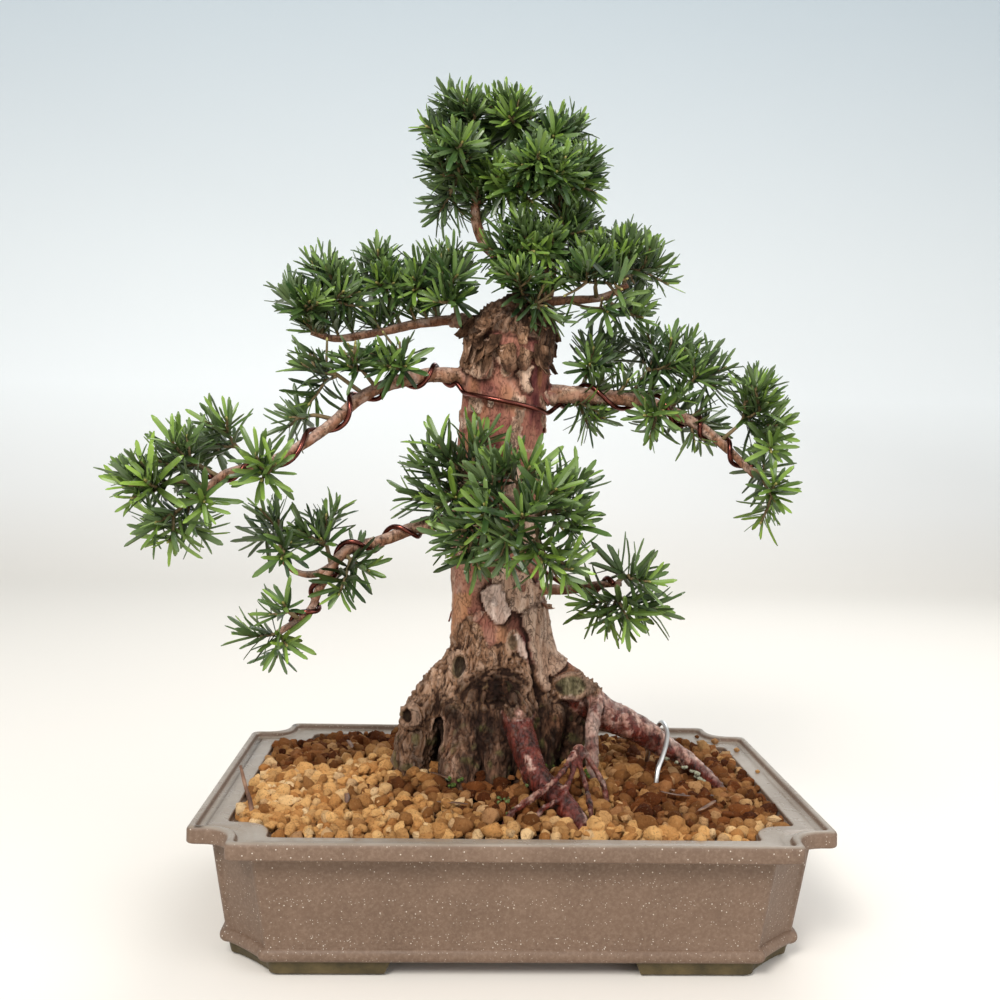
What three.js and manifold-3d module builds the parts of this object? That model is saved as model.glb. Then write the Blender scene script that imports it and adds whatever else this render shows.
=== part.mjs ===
import * as THREE from "three";
import { mergeVertices } from "three/addons/utils/BufferGeometryUtils.js";
import Module from "manifold-3d";

const wasm = await Module();
wasm.setup();

// All lengths are millimetres. X runs along the pot, -Y is the front, Z is up from the resting plane.
// Pot
const POT_LENGTH = 370;
const POT_DEPTH = 268;
const POT_HEIGHT = 82.4;
const CORNER_NOTCH = 26;
const RIM_HEIGHT = 10;
const RIM_WIDTH = 20;
const RIM_OVERHANG = 11;
const BEAD_WIDTH = 5;
const BEAD_RISE = 3;
const EDGE_ROUND = 1.5;
const RIM_INNER_EDGE = 6;
const WALL = 9;
const WALL_TAPER = 8;
const BELT_HEIGHT = 8;
const BELT_BULGE = 3;
const FOOT_HEIGHT = 9;
const FOOT_LENGTH = 66;
const FOOT_WIDTH = 46;
const FOOT_THICKNESS = 20;
const FLOOR_THICKNESS = 8;
const DRAIN_RADIUS = 11;
const DRAIN_SPACING = 170;
const TIE_HOLE_RADIUS = 2.4;
const TIE_HOLE = { x: 98, y: 34 };
// A pot corner's inward step, from one side to the next, as shares of the notch.
const NOTCH_CURVE = [[0, 1], [0.42, 0.98], [0.72, 0.72], [0.98, 0.42], [1, 0]];

// Pieces that touch stand this far apart.
const GAP = 0.35;

// Soil, whose granules are drawn larger than they are
const SOIL_EDGE = 75.5;
const MOUND_RISE = 17;
const MOUND_CENTRE = [-10, 5];
const MOUND_SPREAD = [76, 62];
const GRANULE = 14.5;
const GRANULE_RELIEF = 5;
const GRANULE_SHIFT = 0.5;

// Screens over the drain holes
const SCREEN_SIDE = 34;
const SCREEN_THICKNESS = 1.4;
const SCREEN_BAR = 4;
const SCREEN_OPENINGS = 2;

// Wires
const WIRE_RADIUS = 1.3;
const TIE_RADIUS = 1.4;
const WIRE_PITCH = 21;
const WIRE_SIDES = 5;
const STEPS_PER_TURN = 7;
const TRUNK_CLEARANCE = 3.4;
// Each wire is wound along one limb, crosses the trunk and is wound along another.
const WIRES = {
  wire_upper: {
    first: { limb: "mid_left", from: 0.18, to: 0.92, angle: 5.4, way: -1 },
    across: { angles: [206, 334], heights: [332, 320], steps: 8 },
    last: { limb: "right", from: 0.19, to: 0.96, angle: 4.2, way: 1 },
  },
  wire_lower: {
    first: { limb: "lower_left", from: 0.26, to: 0.94, angle: 3.6, way: 1 },
    across: { angles: [166, 4], heights: [245, 216], steps: 10 },
    last: { limb: "lower_right", from: 0.44, to: 0.95, angle: 0.2, way: 1 },
  },
};
// The tie's way over the right root, from the soil in front of it to its far side: y and z.
const TIE_OVER_ROOT = [
  [-32, 74], [-26, 88], [-14, 101], [-9.5, 112], [-2, 117.5], [5, 117], [10, 112], [15, 104],
];
// The tie's cut end behind the root.
const TIE_END = [[22, 112], [26, 96], [33, 80]];

// Foliage
const NEEDLE_LENGTH = 22;
const NEEDLE_RADIUS = 0.9;
const BAND = 1.5;
const END_SHARE = 0.6;
const SHOOT_RADIUS = 1.4;
const TWIG_RADIUS = 1.7;
const FORK_RADIUS = 0.7;
// The whorls of a shoot: how far behind its tip, at most what share of its length,
// and how far its needles tilt from the shoot, in radians.
const WHORLS = [
  { back: 13, mostShare: 0.6, tilt: 1.05 },
  { back: 1.5, mostShare: 0.2, tilt: 0.75 },
];
// A needle in the way of another is swung round its shoot, then shortened: turn and share of its length.
const TRIES = [
  [0, 1], [0.4, 1], [-0.4, 1], [0.8, 1], [-0.8, 1],
  [0, 0.7], [0.5, 0.7], [-0.5, 0.7], [0, 0.45],
];
// How far behind its shoots a spray's stem leaves the limb, where it forks, and how its shoots bend.
const LIMB_STEPS = 50;
const STEM_LAG = 0.05;
const FORK_SHARE = 0.5;
const FORK_RISE = 0.08;
const SAG = 0.06;

// Wood
const TRUNK_SIDES = 14;
const LIMB_TAPER = 0.8;
// A limb or root thicker than this gets more sides.
const THICK = 5;
// Waves round the trunk, as shares of its half width, that turn a little at each section.
const FLUTES = [
  { waves: 3, depth: 0.05, turn: 0.5 },
  { waves: 7, depth: 0.035, turn: -0.9 },
];
// The stub of a cut branch stands on the left swelling, and its heart has rotted to a hole.
const STUB = { from: [-56, -10, 124], to: [-67, -24, 126], radii: [8, 6], hole: 2.6, depth: 5 };
// A short dead twig stands in the soil beside the left rim.
const DRY_TWIG = {
  route: [[-153, -74, 68], [-155, -70, 83], [-159, -66, 93], [-163, -61, 104]],
  radii: [1.7, 1],
};
// Each section of the trunk: centre x, y, z, then half width and half depth.
const TRUNK = [
  [-8, 3, 60, 38, 30],
  [-7, 3, 100, 42, 33],
  [-5, 4, 122, 43, 34],
  [-5, 4, 140, 40, 32],
  [-6, 5, 156, 36, 31],
  [-7, 5, 174, 32, 30],
  [-8, 5, 194, 30, 29],
  [-9.5, 5, 214, 28.5, 28],
  [-9.5, 5, 250, 28, 27.5],
  [-8.5, 5, 290, 27, 27],
  [-6.5, 5, 325, 26.5, 26],
  [-5, 5, 352, 27.5, 26],
  [-4, 6, 370, 27.5, 25],
  [-2, 7, 381, 24, 22],
  [3, 8, 390, 18, 16],
  [6, 8, 397, 9, 9],
];

// Each limb: the points that it runs through, then its radius at the start and at the end.
const LIMBS = {
  leader: {
    route: [
      [-5, 8, 371], [4, 8, 392], [2, 10, 407], [-10, 10, 419], [-22, 8, 430],
      [-28, 4, 444], [-28, 1, 462], [-33, 0, 477], [-42, -2, 488],
    ],
    radii: [6.5, 2],
  },
  leader_right: {
    route: [
      [6, 8, 376], [17, 6, 399], [22, 4, 418], [26, 2, 438], [27, 1, 460], [18, 6, 480], [6, 8, 496],
    ],
    radii: [6, 1.9],
  },
  leader_cross: {
    route: [[-28, 1, 464], [-15, -4, 466], [-4, -10, 460], [5, -16, 459]],
    radii: [2.8, 1.6],
  },
  upper_left: {
    route: [[-8, 10, 364], [-33, 14, 379], [-57, 10, 378], [-90, 6, 370], [-118, 2, 365], [-132, -2, 368]],
    radii: [4.6, 1.8],
  },
  mid_left: {
    route: [
      [-5, 6, 336], [-31, 2, 342], [-50, -4, 343], [-74, -14, 338], [-97, -24, 327],
      [-118, -42, 306], [-147, -64, 286], [-172, -77, 278], [-183, -85, 266],
    ],
    radii: [6.2, 2],
  },
  lower_left: {
    route: [
      [-10, 2, 255], [-38, -8, 250], [-61, -18, 246], [-82, -26, 238], [-105, -37, 231],
      [-118, -48, 212], [-124, -54, 197], [-142, -60, 184],
    ],
    radii: [5.6, 1.9],
  },
  lower_left_side: {
    route: [[-112, -42, 223], [-122, -46, 218], [-134, -43, 219], [-145, -42, 228]],
    radii: [2.6, 1.6],
  },
  front: {
    route: [[-8, 0, 262], [-4, -34, 263], [4, -60, 260], [10, -80, 256]],
    radii: [5.4, 2],
  },
  lower_right: {
    route: [[2, 0, 208], [25, -22, 208], [37, -34, 210], [50, -44, 214], [64, -52, 216]],
    radii: [4.4, 1.8],
  },
  right: {
    route: [
      [-4, 6, 338], [22, 4, 333], [44, 2, 332], [83, -2, 329], [110, -8, 318],
      [122, -12, 311], [138, -18, 297], [151, -26, 283],
    ],
    radii: [7.6, 2],
  },
  upper_right: {
    route: [[-4, 10, 380], [10, 6, 391], [30, 0, 393], [54, -5, 395], [70, -8, 403]],
    radii: [4.6, 1.8],
  },
};

// The surface roots leave the trunk's flare and go down into the soil.
const ROOTS = [
  { route: [[-22, 2, 158], [-46, -3, 140], [-57, -6, 120], [-61, -8, 100], [-64, -8, 62]], radii: [20, 12] },
  { route: [[-24, -2, 160], [-29, -14, 128], [-31, -24, 104], [-33, -32, 84], [-34, -36, 62]], radii: [19, 9] },
  { route: [[-8, -6, 156], [-8, -18, 124], [-8, -28, 100], [-9, -36, 62]], radii: [16, 7] },
  {
    route: [
      [2, -8, 156], [3, -26, 134], [8, -42, 113], [16, -58, 95], [26, -66, 86], [37, -73, 77], [42, -78, 66],
    ],
    radii: [11, 4.5],
  },
  {
    route: [
      [14, 2, 158], [42, 0, 139], [63, 0, 124], [88, 0, 113], [101, 0, 104],
      [114, -2, 97], [127, -6, 88], [139, -12, 78], [148, -17, 66],
    ],
    radii: [15, 1.8],
  },
  { route: [[44, -4, 146], [55, -12, 137], [53, -18, 117], [53, -22, 95], [54, -26, 66]], radii: [6, 3.4] },
  {
    route: [
      [56, -24, 74], [57, -34, 88], [49, -44, 103], [40, -44, 114], [20, -62, 98], [0, -79, 84], [-8, -84, 70],
    ],
    radii: [2, 1.7],
  },
  { route: [[42, -43, 112], [30, -52, 102], [19, -66, 90], [7, -78, 80], [2, -82, 68]], radii: [1.9, 1.6] },
  { route: [[42, -43, 112], [42, -48, 103], [46, -58, 90], [47, -67, 78], [48, -72, 66]], radii: [1.9, 1.6] },
  { route: [[-16, 12, 152], [-38, 34, 124], [-54, 52, 100], [-66, 66, 66]], radii: [18, 6] },
  { route: [[4, 12, 152], [20, 36, 122], [36, 56, 98], [48, 70, 66]], radii: [17, 6] },
];

// Each spray: the limb that it grows on and the tips of its shoots.
const SPRAYS = [
  ["upper_left", [[-146, -5, 389], [-137, -15, 384]]],
  ["upper_left", [[-125, 5, 409], [-115, -12, 404], [-110, -22, 392]]],
  ["upper_left", [[-93, 8, 419], [-84, -10, 409], [-105, 25, 406]]],
  ["upper_left", [[-55, 5, 419], [-67, -12, 403], [-75, 34, 410], [-51, 32, 412]]],
  ["upper_left", [[-38, 6, 415], [-49, -14, 403], [-40, -14, 389]]],
  ["mid_left", [[-129, -25, 354], [-134, -32, 346], [-123, -28, 336]]],
  ["mid_left", [[-108, -30, 354], [-104, -42, 345]]],
  ["mid_left", [[-86, -22, 356], [-82, -40, 346], [-75, -8, 362], [-70, -34, 346]]],
  ["mid_left", [[-139, -36, 313]]],
  ["mid_left", [[-148, -88, 276]]],
  ["mid_left", [[-173, -66, 305], [-184, -54, 297]]],
  ["mid_left", [[-218, -96, 265], [-222, -84, 276]]],
  ["mid_left", [[-196, -78, 290], [-207, -68, 283]]],
  ["mid_left", [[-204, -98, 252], [-194, -76, 250]]],
  ["right", [[49, 30, 376], [53, 12, 362], [70, 42, 375], [47, -6, 354]]],
  ["right", [[49, 8, 312]]],
  ["right", [[93, 8, 371], [85, 36, 377], [106, 0, 368], [99, -14, 358], [118, 26, 360]]],
  ["right", [[127, 6, 362], [115, -14, 347], [135, -4, 352]]],
  ["right", [[144, -26, 336], [159, -8, 344], [154, -38, 328], [167, -20, 318], [161, -34, 306]]],
  ["right", [[161, -38, 268], [163, -16, 290]]],
  ["right", [[91, -20, 320]]],
  ["front", [[0, -98, 260], [-13, -88, 244]]],
  ["front", [[26, -90, 264], [14, -92, 278]]],
  ["front", [[38, -70, 268], [30, -66, 284], [37, -78, 252]]],
  ["front", [[12, -94, 233], [24, -82, 222], [-1, -86, 232]]],
  ["front", [[7, -60, 297], [-12, -66, 294]]],
  ["front", [[-32, -62, 234], [-26, -54, 222], [-37, -62, 247]]],
  ["front", [[-22, -78, 258], [-20, -72, 278]]],
  ["front", [[-50, -42, 300], [-27, -46, 303], [-59, -32, 284], [-65, -26, 264], [-48, -46, 260]]],
  ["lower_left_side", [[-146, -38, 256], [-152, -36, 242], [-136, -54, 238]]],
  ["lower_left_side", [[-119, -30, 246], [-118, -52, 240]]],
  ["lower_left", [[-90, -48, 221], [-98, -28, 230], [-106, -58, 208]]],
  ["lower_left", [[-137, -74, 204], [-145, -66, 196]]],
  ["lower_left", [[-144, -50, 168], [-136, -66, 178], [-162, -56, 182]]],
  ["lower_right", [[79, -64, 219], [76, -46, 224], [62, -42, 226]]],
  ["lower_right", [[67, -66, 196], [54, -58, 194], [86, -54, 201], [44, -54, 204]]],
  ["leader", [[-37, 0, 516], [-50, 4, 500], [-28, -20, 508]]],
  ["leader_right", [[-8, 22, 521], [-15, 2, 518], [-7, -24, 503], [10, 4, 516]]],
  ["leader", [[-50, -6, 469], [-42, -30, 486], [-54, 12, 446]]],
  ["leader", [[-14, 46, 514], [-34, 40, 502], [-42, 36, 474]]],
  ["leader_right", [[46, 14, 500], [34, 4, 510], [25, -16, 506]]],
  ["leader_cross", [[26, -30, 464], [6, -34, 474]]],
  ["leader_right", [[48, -16, 467], [54, 2, 483]]],
  ["leader_right", [[18, 46, 512], [36, 42, 494], [42, 38, 466]]],
  ["leader", [[7, -24, 427], [-7, -14, 421]]],
  ["leader_right", [[32, -8, 437], [15, -28, 418], [44, 16, 446]]],
  ["upper_right", [[70, 10, 436], [70, -14, 422], [57, -26, 416], [89, -12, 415], [80, 42, 418]]],
  ["upper_right", [[65, -34, 403], [44, -32, 410], [31, -28, 405]]],
  ["upper_right", [[77, -6, 384], [49, -14, 386]]],
  ["leader", [[16, -26, 386], [-2, -32, 404]]],
  ["upper_right", [[53, 52, 443], [14, 54, 440]]],
];

const MATERIALS = {
  stoneware: new THREE.MeshStandardMaterial({ color: 0x7d6a5e, roughness: 0.7, metalness: 0 }),
  soil: new THREE.MeshStandardMaterial({ color: 0xb57f45, roughness: 1, metalness: 0 }),
  bark: new THREE.MeshStandardMaterial({ color: 0x6b4638, roughness: 0.9, metalness: 0 }),
  needles: new THREE.MeshStandardMaterial({ color: 0x4c6b2c, roughness: 0.6, metalness: 0 }),
  screen: new THREE.MeshStandardMaterial({ color: 0x1c1d1c, roughness: 0.6, metalness: 0 }),
  brown_wire: new THREE.MeshStandardMaterial({ color: 0x8a5637, roughness: 0.4, metalness: 1 }),
  bright_wire: new THREE.MeshStandardMaterial({ color: 0xd8d8d4, roughness: 0.35, metalness: 1 }),
};

// A direction that no stem or wire starts out along, so each tube's rings can be laid out from it.
const FIRST_ACROSS = [0.31, 0.17, 0.93];

const vec = (p) => new THREE.Vector3(...p);
const mix = THREE.MathUtils.lerp;

function toSolid(geometry) {
  const bare = geometry.clone();
  bare.deleteAttribute("normal");
  bare.deleteAttribute("uv");
  const merged = mergeVertices(bare, 1e-4);
  return new wasm.Manifold(
    new wasm.Mesh({
      numProp: 3,
      vertProperties: merged.attributes.position.array,
      triVerts: new Uint32Array(merged.index.array),
    }),
  );
}

function toMesh(name, solid, material) {
  const made = solid.getMesh();
  const geometry = new THREE.BufferGeometry();
  geometry.setAttribute("position", new THREE.BufferAttribute(new Float32Array(made.vertProperties), 3));
  geometry.setIndex(new THREE.BufferAttribute(new Uint32Array(made.triVerts), 1));
  geometry.computeVertexNormals();
  const mesh = new THREE.Mesh(geometry, material);
  mesh.name = name;
  return mesh;
}

function largestBody(solid) {
  return solid.decompose().reduce((best, body) => (body.volume() > best.volume() ? body : best));
}

// Closed rings of points, each as long as the next, joined one to the next and capped at both ends.
function loft(rings) {
  const count = rings[0].length;
  const points = rings.flat();
  const faces = [];
  const middle = (ring) => ring.reduce((sum, p) => sum.add(p), new THREE.Vector3()).divideScalar(count);
  points.push(middle(rings[0]), middle(rings.at(-1)));
  const first = points.length - 2;
  const last = points.length - 1;
  const top = (rings.length - 1) * count;
  for (let i = 0; i < count; i++) {
    const j = (i + 1) % count;
    faces.push(first, j, i, last, top + i, top + j);
    for (let k = 0; k < rings.length - 1; k++) {
      const low = k * count;
      const high = low + count;
      faces.push(low + i, low + j, high + j, low + i, high + j, high + i);
    }
  }
  const geometry = new THREE.BufferGeometry().setFromPoints(points);
  geometry.setIndex(faces);
  return toSolid(geometry);
}

// The rings of a tube through points, with a radius at each and any number of sides.
function tubeRings(points, radii, sides) {
  const rings = [];
  let across = new THREE.Vector3(...FIRST_ACROSS);
  points.forEach((point, i) => {
    const before = points[Math.max(i - 1, 0)];
    const after = points[Math.min(i + 1, points.length - 1)];
    const along = after.clone().sub(before).normalize();
    across = across.clone().sub(along.clone().multiplyScalar(across.dot(along))).normalize();
    const other = along.clone().cross(across);
    const ring = [];
    for (let s = 0; s < sides; s++) {
      const angle = (s / sides) * Math.PI * 2;
      ring.push(
        point
          .clone()
          .addScaledVector(across, Math.cos(angle) * radii[i])
          .addScaledVector(other, Math.sin(angle) * radii[i]),
      );
    }
    rings.push(ring);
  });
  return rings;
}

function tube(points, radii, sides) {
  return loft(tubeRings(points, radii, sides));
}

function box(from, to) {
  const size = to.map((v, i) => v - from[i]);
  const geometry = new THREE.BoxGeometry(...size);
  geometry.translate(...from.map((v, i) => v + size[i] / 2));
  return toSolid(geometry);
}

// The pot's plan: a rectangle whose corners are notched by a soft inward step.
function notchedRing(inset, z) {
  const halfX = POT_LENGTH / 2 - inset;
  const halfY = POT_DEPTH / 2 - inset;
  const ring = [];
  for (const [sx, sy, curve] of [
    [-1, -1, NOTCH_CURVE],
    [1, -1, [...NOTCH_CURVE].reverse()],
    [1, 1, NOTCH_CURVE],
    [-1, 1, [...NOTCH_CURVE].reverse()],
  ]) {
    for (const [u, v] of curve) {
      ring.push(new THREE.Vector3(sx * (halfX - u * CORNER_NOTCH), sy * (halfY - v * CORNER_NOTCH), z));
    }
  }
  return ring;
}

const FLOOR_TOP = FOOT_HEIGHT + FLOOR_THICKNESS;
const RIM_BASE = POT_HEIGHT - RIM_HEIGHT;
const RIM_FLAT = POT_HEIGHT - BEAD_RISE;
const BODY_FOOT_INSET = RIM_OVERHANG + WALL_TAPER;
// Cutters and the pieces that they cut run past each other by this much.
const SPARE = 2;

// A frame under the wall, cut to four corner feet that narrow downwards.
function potFeet() {
  const outer = loft([
    notchedRing(BODY_FOOT_INSET - 1, 0),
    notchedRing(BODY_FOOT_INSET - BELT_BULGE, FOOT_HEIGHT + SPARE),
  ]);
  const inner = loft([
    notchedRing(BODY_FOOT_INSET + FOOT_THICKNESS, -1),
    notchedRing(BODY_FOOT_INSET + FOOT_THICKNESS - BELT_BULGE, FOOT_HEIGHT + SPARE + 1),
  ]);
  const frame = outer.subtract(inner);
  const cornerBlock = (sx, sy, reach, z) => {
    const x = [POT_LENGTH / 2, POT_LENGTH / 2 - 2 * BODY_FOOT_INSET - FOOT_LENGTH - reach];
    const y = [POT_DEPTH / 2, POT_DEPTH / 2 - BODY_FOOT_INSET - FOOT_WIDTH - reach];
    const ring = [[x[0], y[0]], [x[1], y[0]], [x[1], y[1]], [x[0], y[1]]];
    if (sx * sy < 0) ring.reverse();
    return ring.map(([a, b]) => new THREE.Vector3(sx * a, sy * b, z));
  };
  const feet = [];
  for (const sx of [-1, 1]) {
    for (const sy of [-1, 1]) {
      const low = cornerBlock(sx, sy, 0, -0.5);
      const high = cornerBlock(sx, sy, FOOT_HEIGHT / 2, FOOT_HEIGHT + EDGE_ROUND);
      feet.push(frame.intersect(loft([low, high])));
    }
  }
  return feet;
}

function upright(x, y, radius, sides) {
  const ends = [new THREE.Vector3(x, y, 0), new THREE.Vector3(x, y, FLOOR_TOP + SPARE)];
  return tube(ends, [radius, radius], sides);
}

function buildPot() {
  const belt = (share, bulge) =>
    notchedRing(BODY_FOOT_INSET - bulge, FOOT_HEIGHT + share * BELT_HEIGHT);
  let pot = loft([
    belt(0, BELT_BULGE / 3),
    belt(0.15, BELT_BULGE),
    belt(0.7, BELT_BULGE),
    belt(1, 0),
    notchedRing(RIM_OVERHANG, RIM_BASE),
    notchedRing(EDGE_ROUND, RIM_BASE),
    notchedRing(0, RIM_BASE + EDGE_ROUND),
    notchedRing(0, POT_HEIGHT - EDGE_ROUND),
    notchedRing(EDGE_ROUND, POT_HEIGHT),
    notchedRing(BEAD_WIDTH - 1, POT_HEIGHT - EDGE_ROUND / 3),
    notchedRing(BEAD_WIDTH, RIM_FLAT),
    notchedRing(RIM_WIDTH, RIM_FLAT),
    notchedRing(RIM_WIDTH, POT_HEIGHT - RIM_INNER_EDGE),
    notchedRing(BODY_FOOT_INSET + WALL, FLOOR_TOP),
  ]);
  for (const foot of potFeet()) pot = pot.add(foot);
  for (const side of [-1, 1]) {
    pot = pot.subtract(upright((side * DRAIN_SPACING) / 2, 0, DRAIN_RADIUS, 20));
    pot = pot.subtract(upright(TIE_HOLE.x, side * TIE_HOLE.y, TIE_HOLE_RADIUS, 8));
  }
  return pot;
}

function screenAt(x) {
  const half = SCREEN_SIDE / 2;
  const low = FLOOR_TOP + GAP;
  let plate = box([x - half, -half, low], [x + half, half, low + SCREEN_THICKNESS]);
  const opening = (SCREEN_SIDE - SCREEN_BAR * (SCREEN_OPENINGS + 1)) / SCREEN_OPENINGS;
  for (let i = 0; i < SCREEN_OPENINGS; i++) {
    for (let j = 0; j < SCREEN_OPENINGS; j++) {
      const a = x - half + SCREEN_BAR + i * (opening + SCREEN_BAR);
      const b = -half + SCREEN_BAR + j * (opening + SCREEN_BAR);
      plate = plate.subtract(box([a, b, low - SPARE], [a + opening, b + opening, low + SPARE]));
    }
  }
  return plate;
}

// The soil is mounded up to the foot of the trunk.
function soilHeight(x, y) {
  const u = (x - MOUND_CENTRE[0]) / MOUND_SPREAD[0];
  const v = (y - MOUND_CENTRE[1]) / MOUND_SPREAD[1];
  return SOIL_EDGE + MOUND_RISE * Math.exp(-(u * u + v * v) / 2);
}

// An uneven number from 0 to 1 that belongs to two whole numbers.
function scatter(i, j) {
  const wave = Math.sin(i * 127.1 + j * 311.7) * 43758.5453;
  return wave - Math.floor(wave);
}

// A slab whose top is lumpy with granules.
function granuleSlab() {
  const columns = Math.ceil(POT_LENGTH / GRANULE);
  const rows = Math.ceil(POT_DEPTH / GRANULE);
  const points = [];
  const faces = [];
  const at = (i, j) => i * (rows + 1) + j;
  for (let i = 0; i <= columns; i++) {
    for (let j = 0; j <= rows; j++) {
      const edge = i === 0 || j === 0 || i === columns || j === rows;
      const shift = edge ? 0 : GRANULE_SHIFT;
      const x = (i - columns / 2 + shift * (scatter(i, j) - 0.5)) * GRANULE;
      const y = (j - rows / 2 + shift * (scatter(j, i + 7) - 0.5)) * GRANULE;
      points.push(new THREE.Vector3(x, y, soilHeight(x, y) + GRANULE_RELIEF * (scatter(i + 3, j + 5) - 0.5)));
    }
  }
  const under = points.length;
  points.push(...points.map((p) => new THREE.Vector3(p.x, p.y, 0)));
  for (let i = 0; i < columns; i++) {
    for (let j = 0; j < rows; j++) {
      const quad = [at(i, j), at(i + 1, j), at(i + 1, j + 1), at(i, j + 1)];
      faces.push(quad[0], quad[1], quad[2], quad[0], quad[2], quad[3]);
      faces.push(...[0, 2, 1, 0, 3, 2].map((corner) => under + quad[corner]));
    }
  }
  const wall = (a, b) => faces.push(a, under + b, b, a, under + a, under + b);
  for (let i = 0; i < columns; i++) {
    wall(at(i, 0), at(i + 1, 0));
    wall(at(i + 1, rows), at(i, rows));
  }
  for (let j = 0; j < rows; j++) {
    wall(at(0, j + 1), at(0, j));
    wall(at(columns, j), at(columns, j + 1));
  }
  const geometry = new THREE.BufferGeometry().setFromPoints(points);
  geometry.setIndex(faces);
  return toSolid(geometry);
}

function buildSoil(holes) {
  const bed = loft([
    notchedRing(BODY_FOOT_INSET + WALL + GAP, FLOOR_TOP + GAP),
    notchedRing(RIM_WIDTH + GAP, POT_HEIGHT - RIM_INNER_EDGE),
    notchedRing(RIM_WIDTH + GAP, POT_HEIGHT + MOUND_RISE),
  ]);
  let soil = bed.intersect(granuleSlab());
  const half = SCREEN_SIDE / 2 + GAP;
  const top = FLOOR_TOP + SCREEN_THICKNESS + 2 * GAP;
  for (const side of [-1, 1]) {
    const x = (side * DRAIN_SPACING) / 2;
    soil = soil.subtract(box([x - half, -half, FLOOR_TOP - SPARE], [x + half, half, top]));
  }
  for (const hole of holes) soil = soil.subtract(hole);
  return largestBody(soil);
}

function curveOf(route) {
  return new THREE.CatmullRomCurve3(route.map(vec), false, "centripetal");
}

function limbPoints({ route, radii }, steps, grow = 0) {
  const curve = curveOf(route);
  const points = [];
  const sizes = [];
  for (let i = 0; i <= steps; i++) {
    const t = i / steps;
    points.push(curve.getPoint(t));
    sizes.push(mix(radii[0], radii[1], t ** LIMB_TAPER) + grow);
  }
  return [points, sizes];
}

// The trunk is fluted and a little uneven, as old bark over swellings.
function trunkBody(grow = 0) {
  const rings = TRUNK.map(([x, y, z, wide, deep], k) => {
    const flute = (angle) => (sum, { waves, depth, turn }) => sum + depth * Math.sin(waves * angle + k * turn);
    const ring = [];
    for (let s = 0; s < TRUNK_SIDES; s++) {
      const angle = (s / TRUNK_SIDES) * Math.PI * 2;
      const bark = FLUTES.reduce(flute(angle), 1);
      ring.push(
        new THREE.Vector3(
          x + Math.cos(angle) * (wide * bark + grow),
          y + Math.sin(angle) * (deep * bark + grow),
          z,
        ),
      );
    }
    return ring;
  });
  return loft(rings);
}

function limbBody(limb, grow = 0) {
  return tube(...limbPoints(limb, limb.route.length, grow), limb.radii[0] > THICK ? 6 : 5);
}

function rootBody(root, grow = 0) {
  return tube(...limbPoints(root, root.route.length, grow), root.radii[0] > THICK ? 7 : 4);
}

function stubBody() {
  return tube([vec(STUB.from), vec(STUB.to)], STUB.radii, 10);
}

function stubHole() {
  const out = vec(STUB.to).sub(vec(STUB.from)).normalize();
  const mouth = vec(STUB.to).addScaledVector(out, 1);
  return tube([mouth, vec(STUB.to).addScaledVector(out, -STUB.depth)], [STUB.hole, STUB.hole], 8);
}

function crownWood(grow = 0) {
  return Object.values(LIMBS).reduce((wood, limb) => wood.add(limbBody(limb, grow)), trunkBody(grow));
}

function buildWood(wireBodies) {
  let wood = crownWood();
  for (const root of ROOTS) wood = wood.add(rootBody(root));
  wood = wood.add(stubBody()).subtract(stubHole());
  for (const body of wireBodies) wood = wood.subtract(body);
  return largestBody(wood);
}

// A wire wound along a limb, from one share of its length to another.
function coil({ limb, from, to, angle, way }) {
  const { route, radii } = LIMBS[limb];
  const curve = curveOf(route);
  const turns = (curve.getLength() * (to - from)) / WIRE_PITCH;
  const steps = Math.round(turns * STEPS_PER_TURN);
  const points = [];
  for (let i = 0; i <= steps; i++) {
    const t = mix(from, to, i / steps);
    const along = curve.getTangent(t);
    const side = new THREE.Vector3(0, 0, 1).cross(along).normalize();
    const up = along.clone().cross(side);
    const turned = angle + way * (i / STEPS_PER_TURN) * Math.PI * 2;
    const bark = mix(radii[0], radii[1], t ** LIMB_TAPER);
    const radius = (bark + WIRE_RADIUS + GAP) / Math.cos(Math.PI / STEPS_PER_TURN);
    points.push(
      curve
        .getPoint(t)
        .addScaledVector(side, Math.cos(turned) * radius)
        .addScaledVector(up, Math.sin(turned) * radius),
    );
  }
  return points;
}

// Points round the trunk from one angle to another, climbing from one height to the other.
function aroundTrunk({ angles, heights, steps }) {
  const points = [];
  for (let i = 0; i <= steps; i++) {
    const angle = THREE.MathUtils.degToRad(mix(...angles, i / steps));
    const z = mix(...heights, i / steps);
    const high = TRUNK.findIndex((section) => section[2] > z);
    const [a, b] = [TRUNK[high - 1], TRUNK[high]];
    const share = (z - a[2]) / (b[2] - a[2]);
    const [x, y, , wide, deep] = a.map((value, k) => mix(value, b[k], share));
    const lift = WIRE_RADIUS + TRUNK_CLEARANCE;
    points.push(new THREE.Vector3(x + Math.cos(angle) * (wide + lift), y + Math.sin(angle) * (deep + lift), z));
  }
  return points;
}

function wireRoute({ first, across, last }) {
  return [...coil(first).reverse(), ...aroundTrunk(across), ...coil(last)];
}

// The tie goes under the floor, up through both holes and over the right root.
function tieRoute() {
  const { x, y } = TIE_HOLE;
  const under = FOOT_HEIGHT - TIE_RADIUS - 2 * GAP;
  const inPot = FLOOR_TOP + SPARE;
  const loop = [[y, inPot], [y, under + 3], [y - 3, under], [3 - y, under], [-y, under + 3], [-y, inPot]];
  return [...TIE_END, ...loop, ...TIE_OVER_ROOT].map(([a, b]) => new THREE.Vector3(x, a, b));
}

function wireTube(points, radius) {
  return tube(points, points.map(() => radius), WIRE_SIDES);
}

// Every rod already placed, so that what comes later can keep clear of it.
const placed = [];

function place(owner, points, radii) {
  for (let i = 1; i < points.length; i++) {
    placed.push({ owner, a: points[i - 1], b: points[i], radius: Math.max(radii[i - 1], radii[i]) });
  }
}

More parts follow.
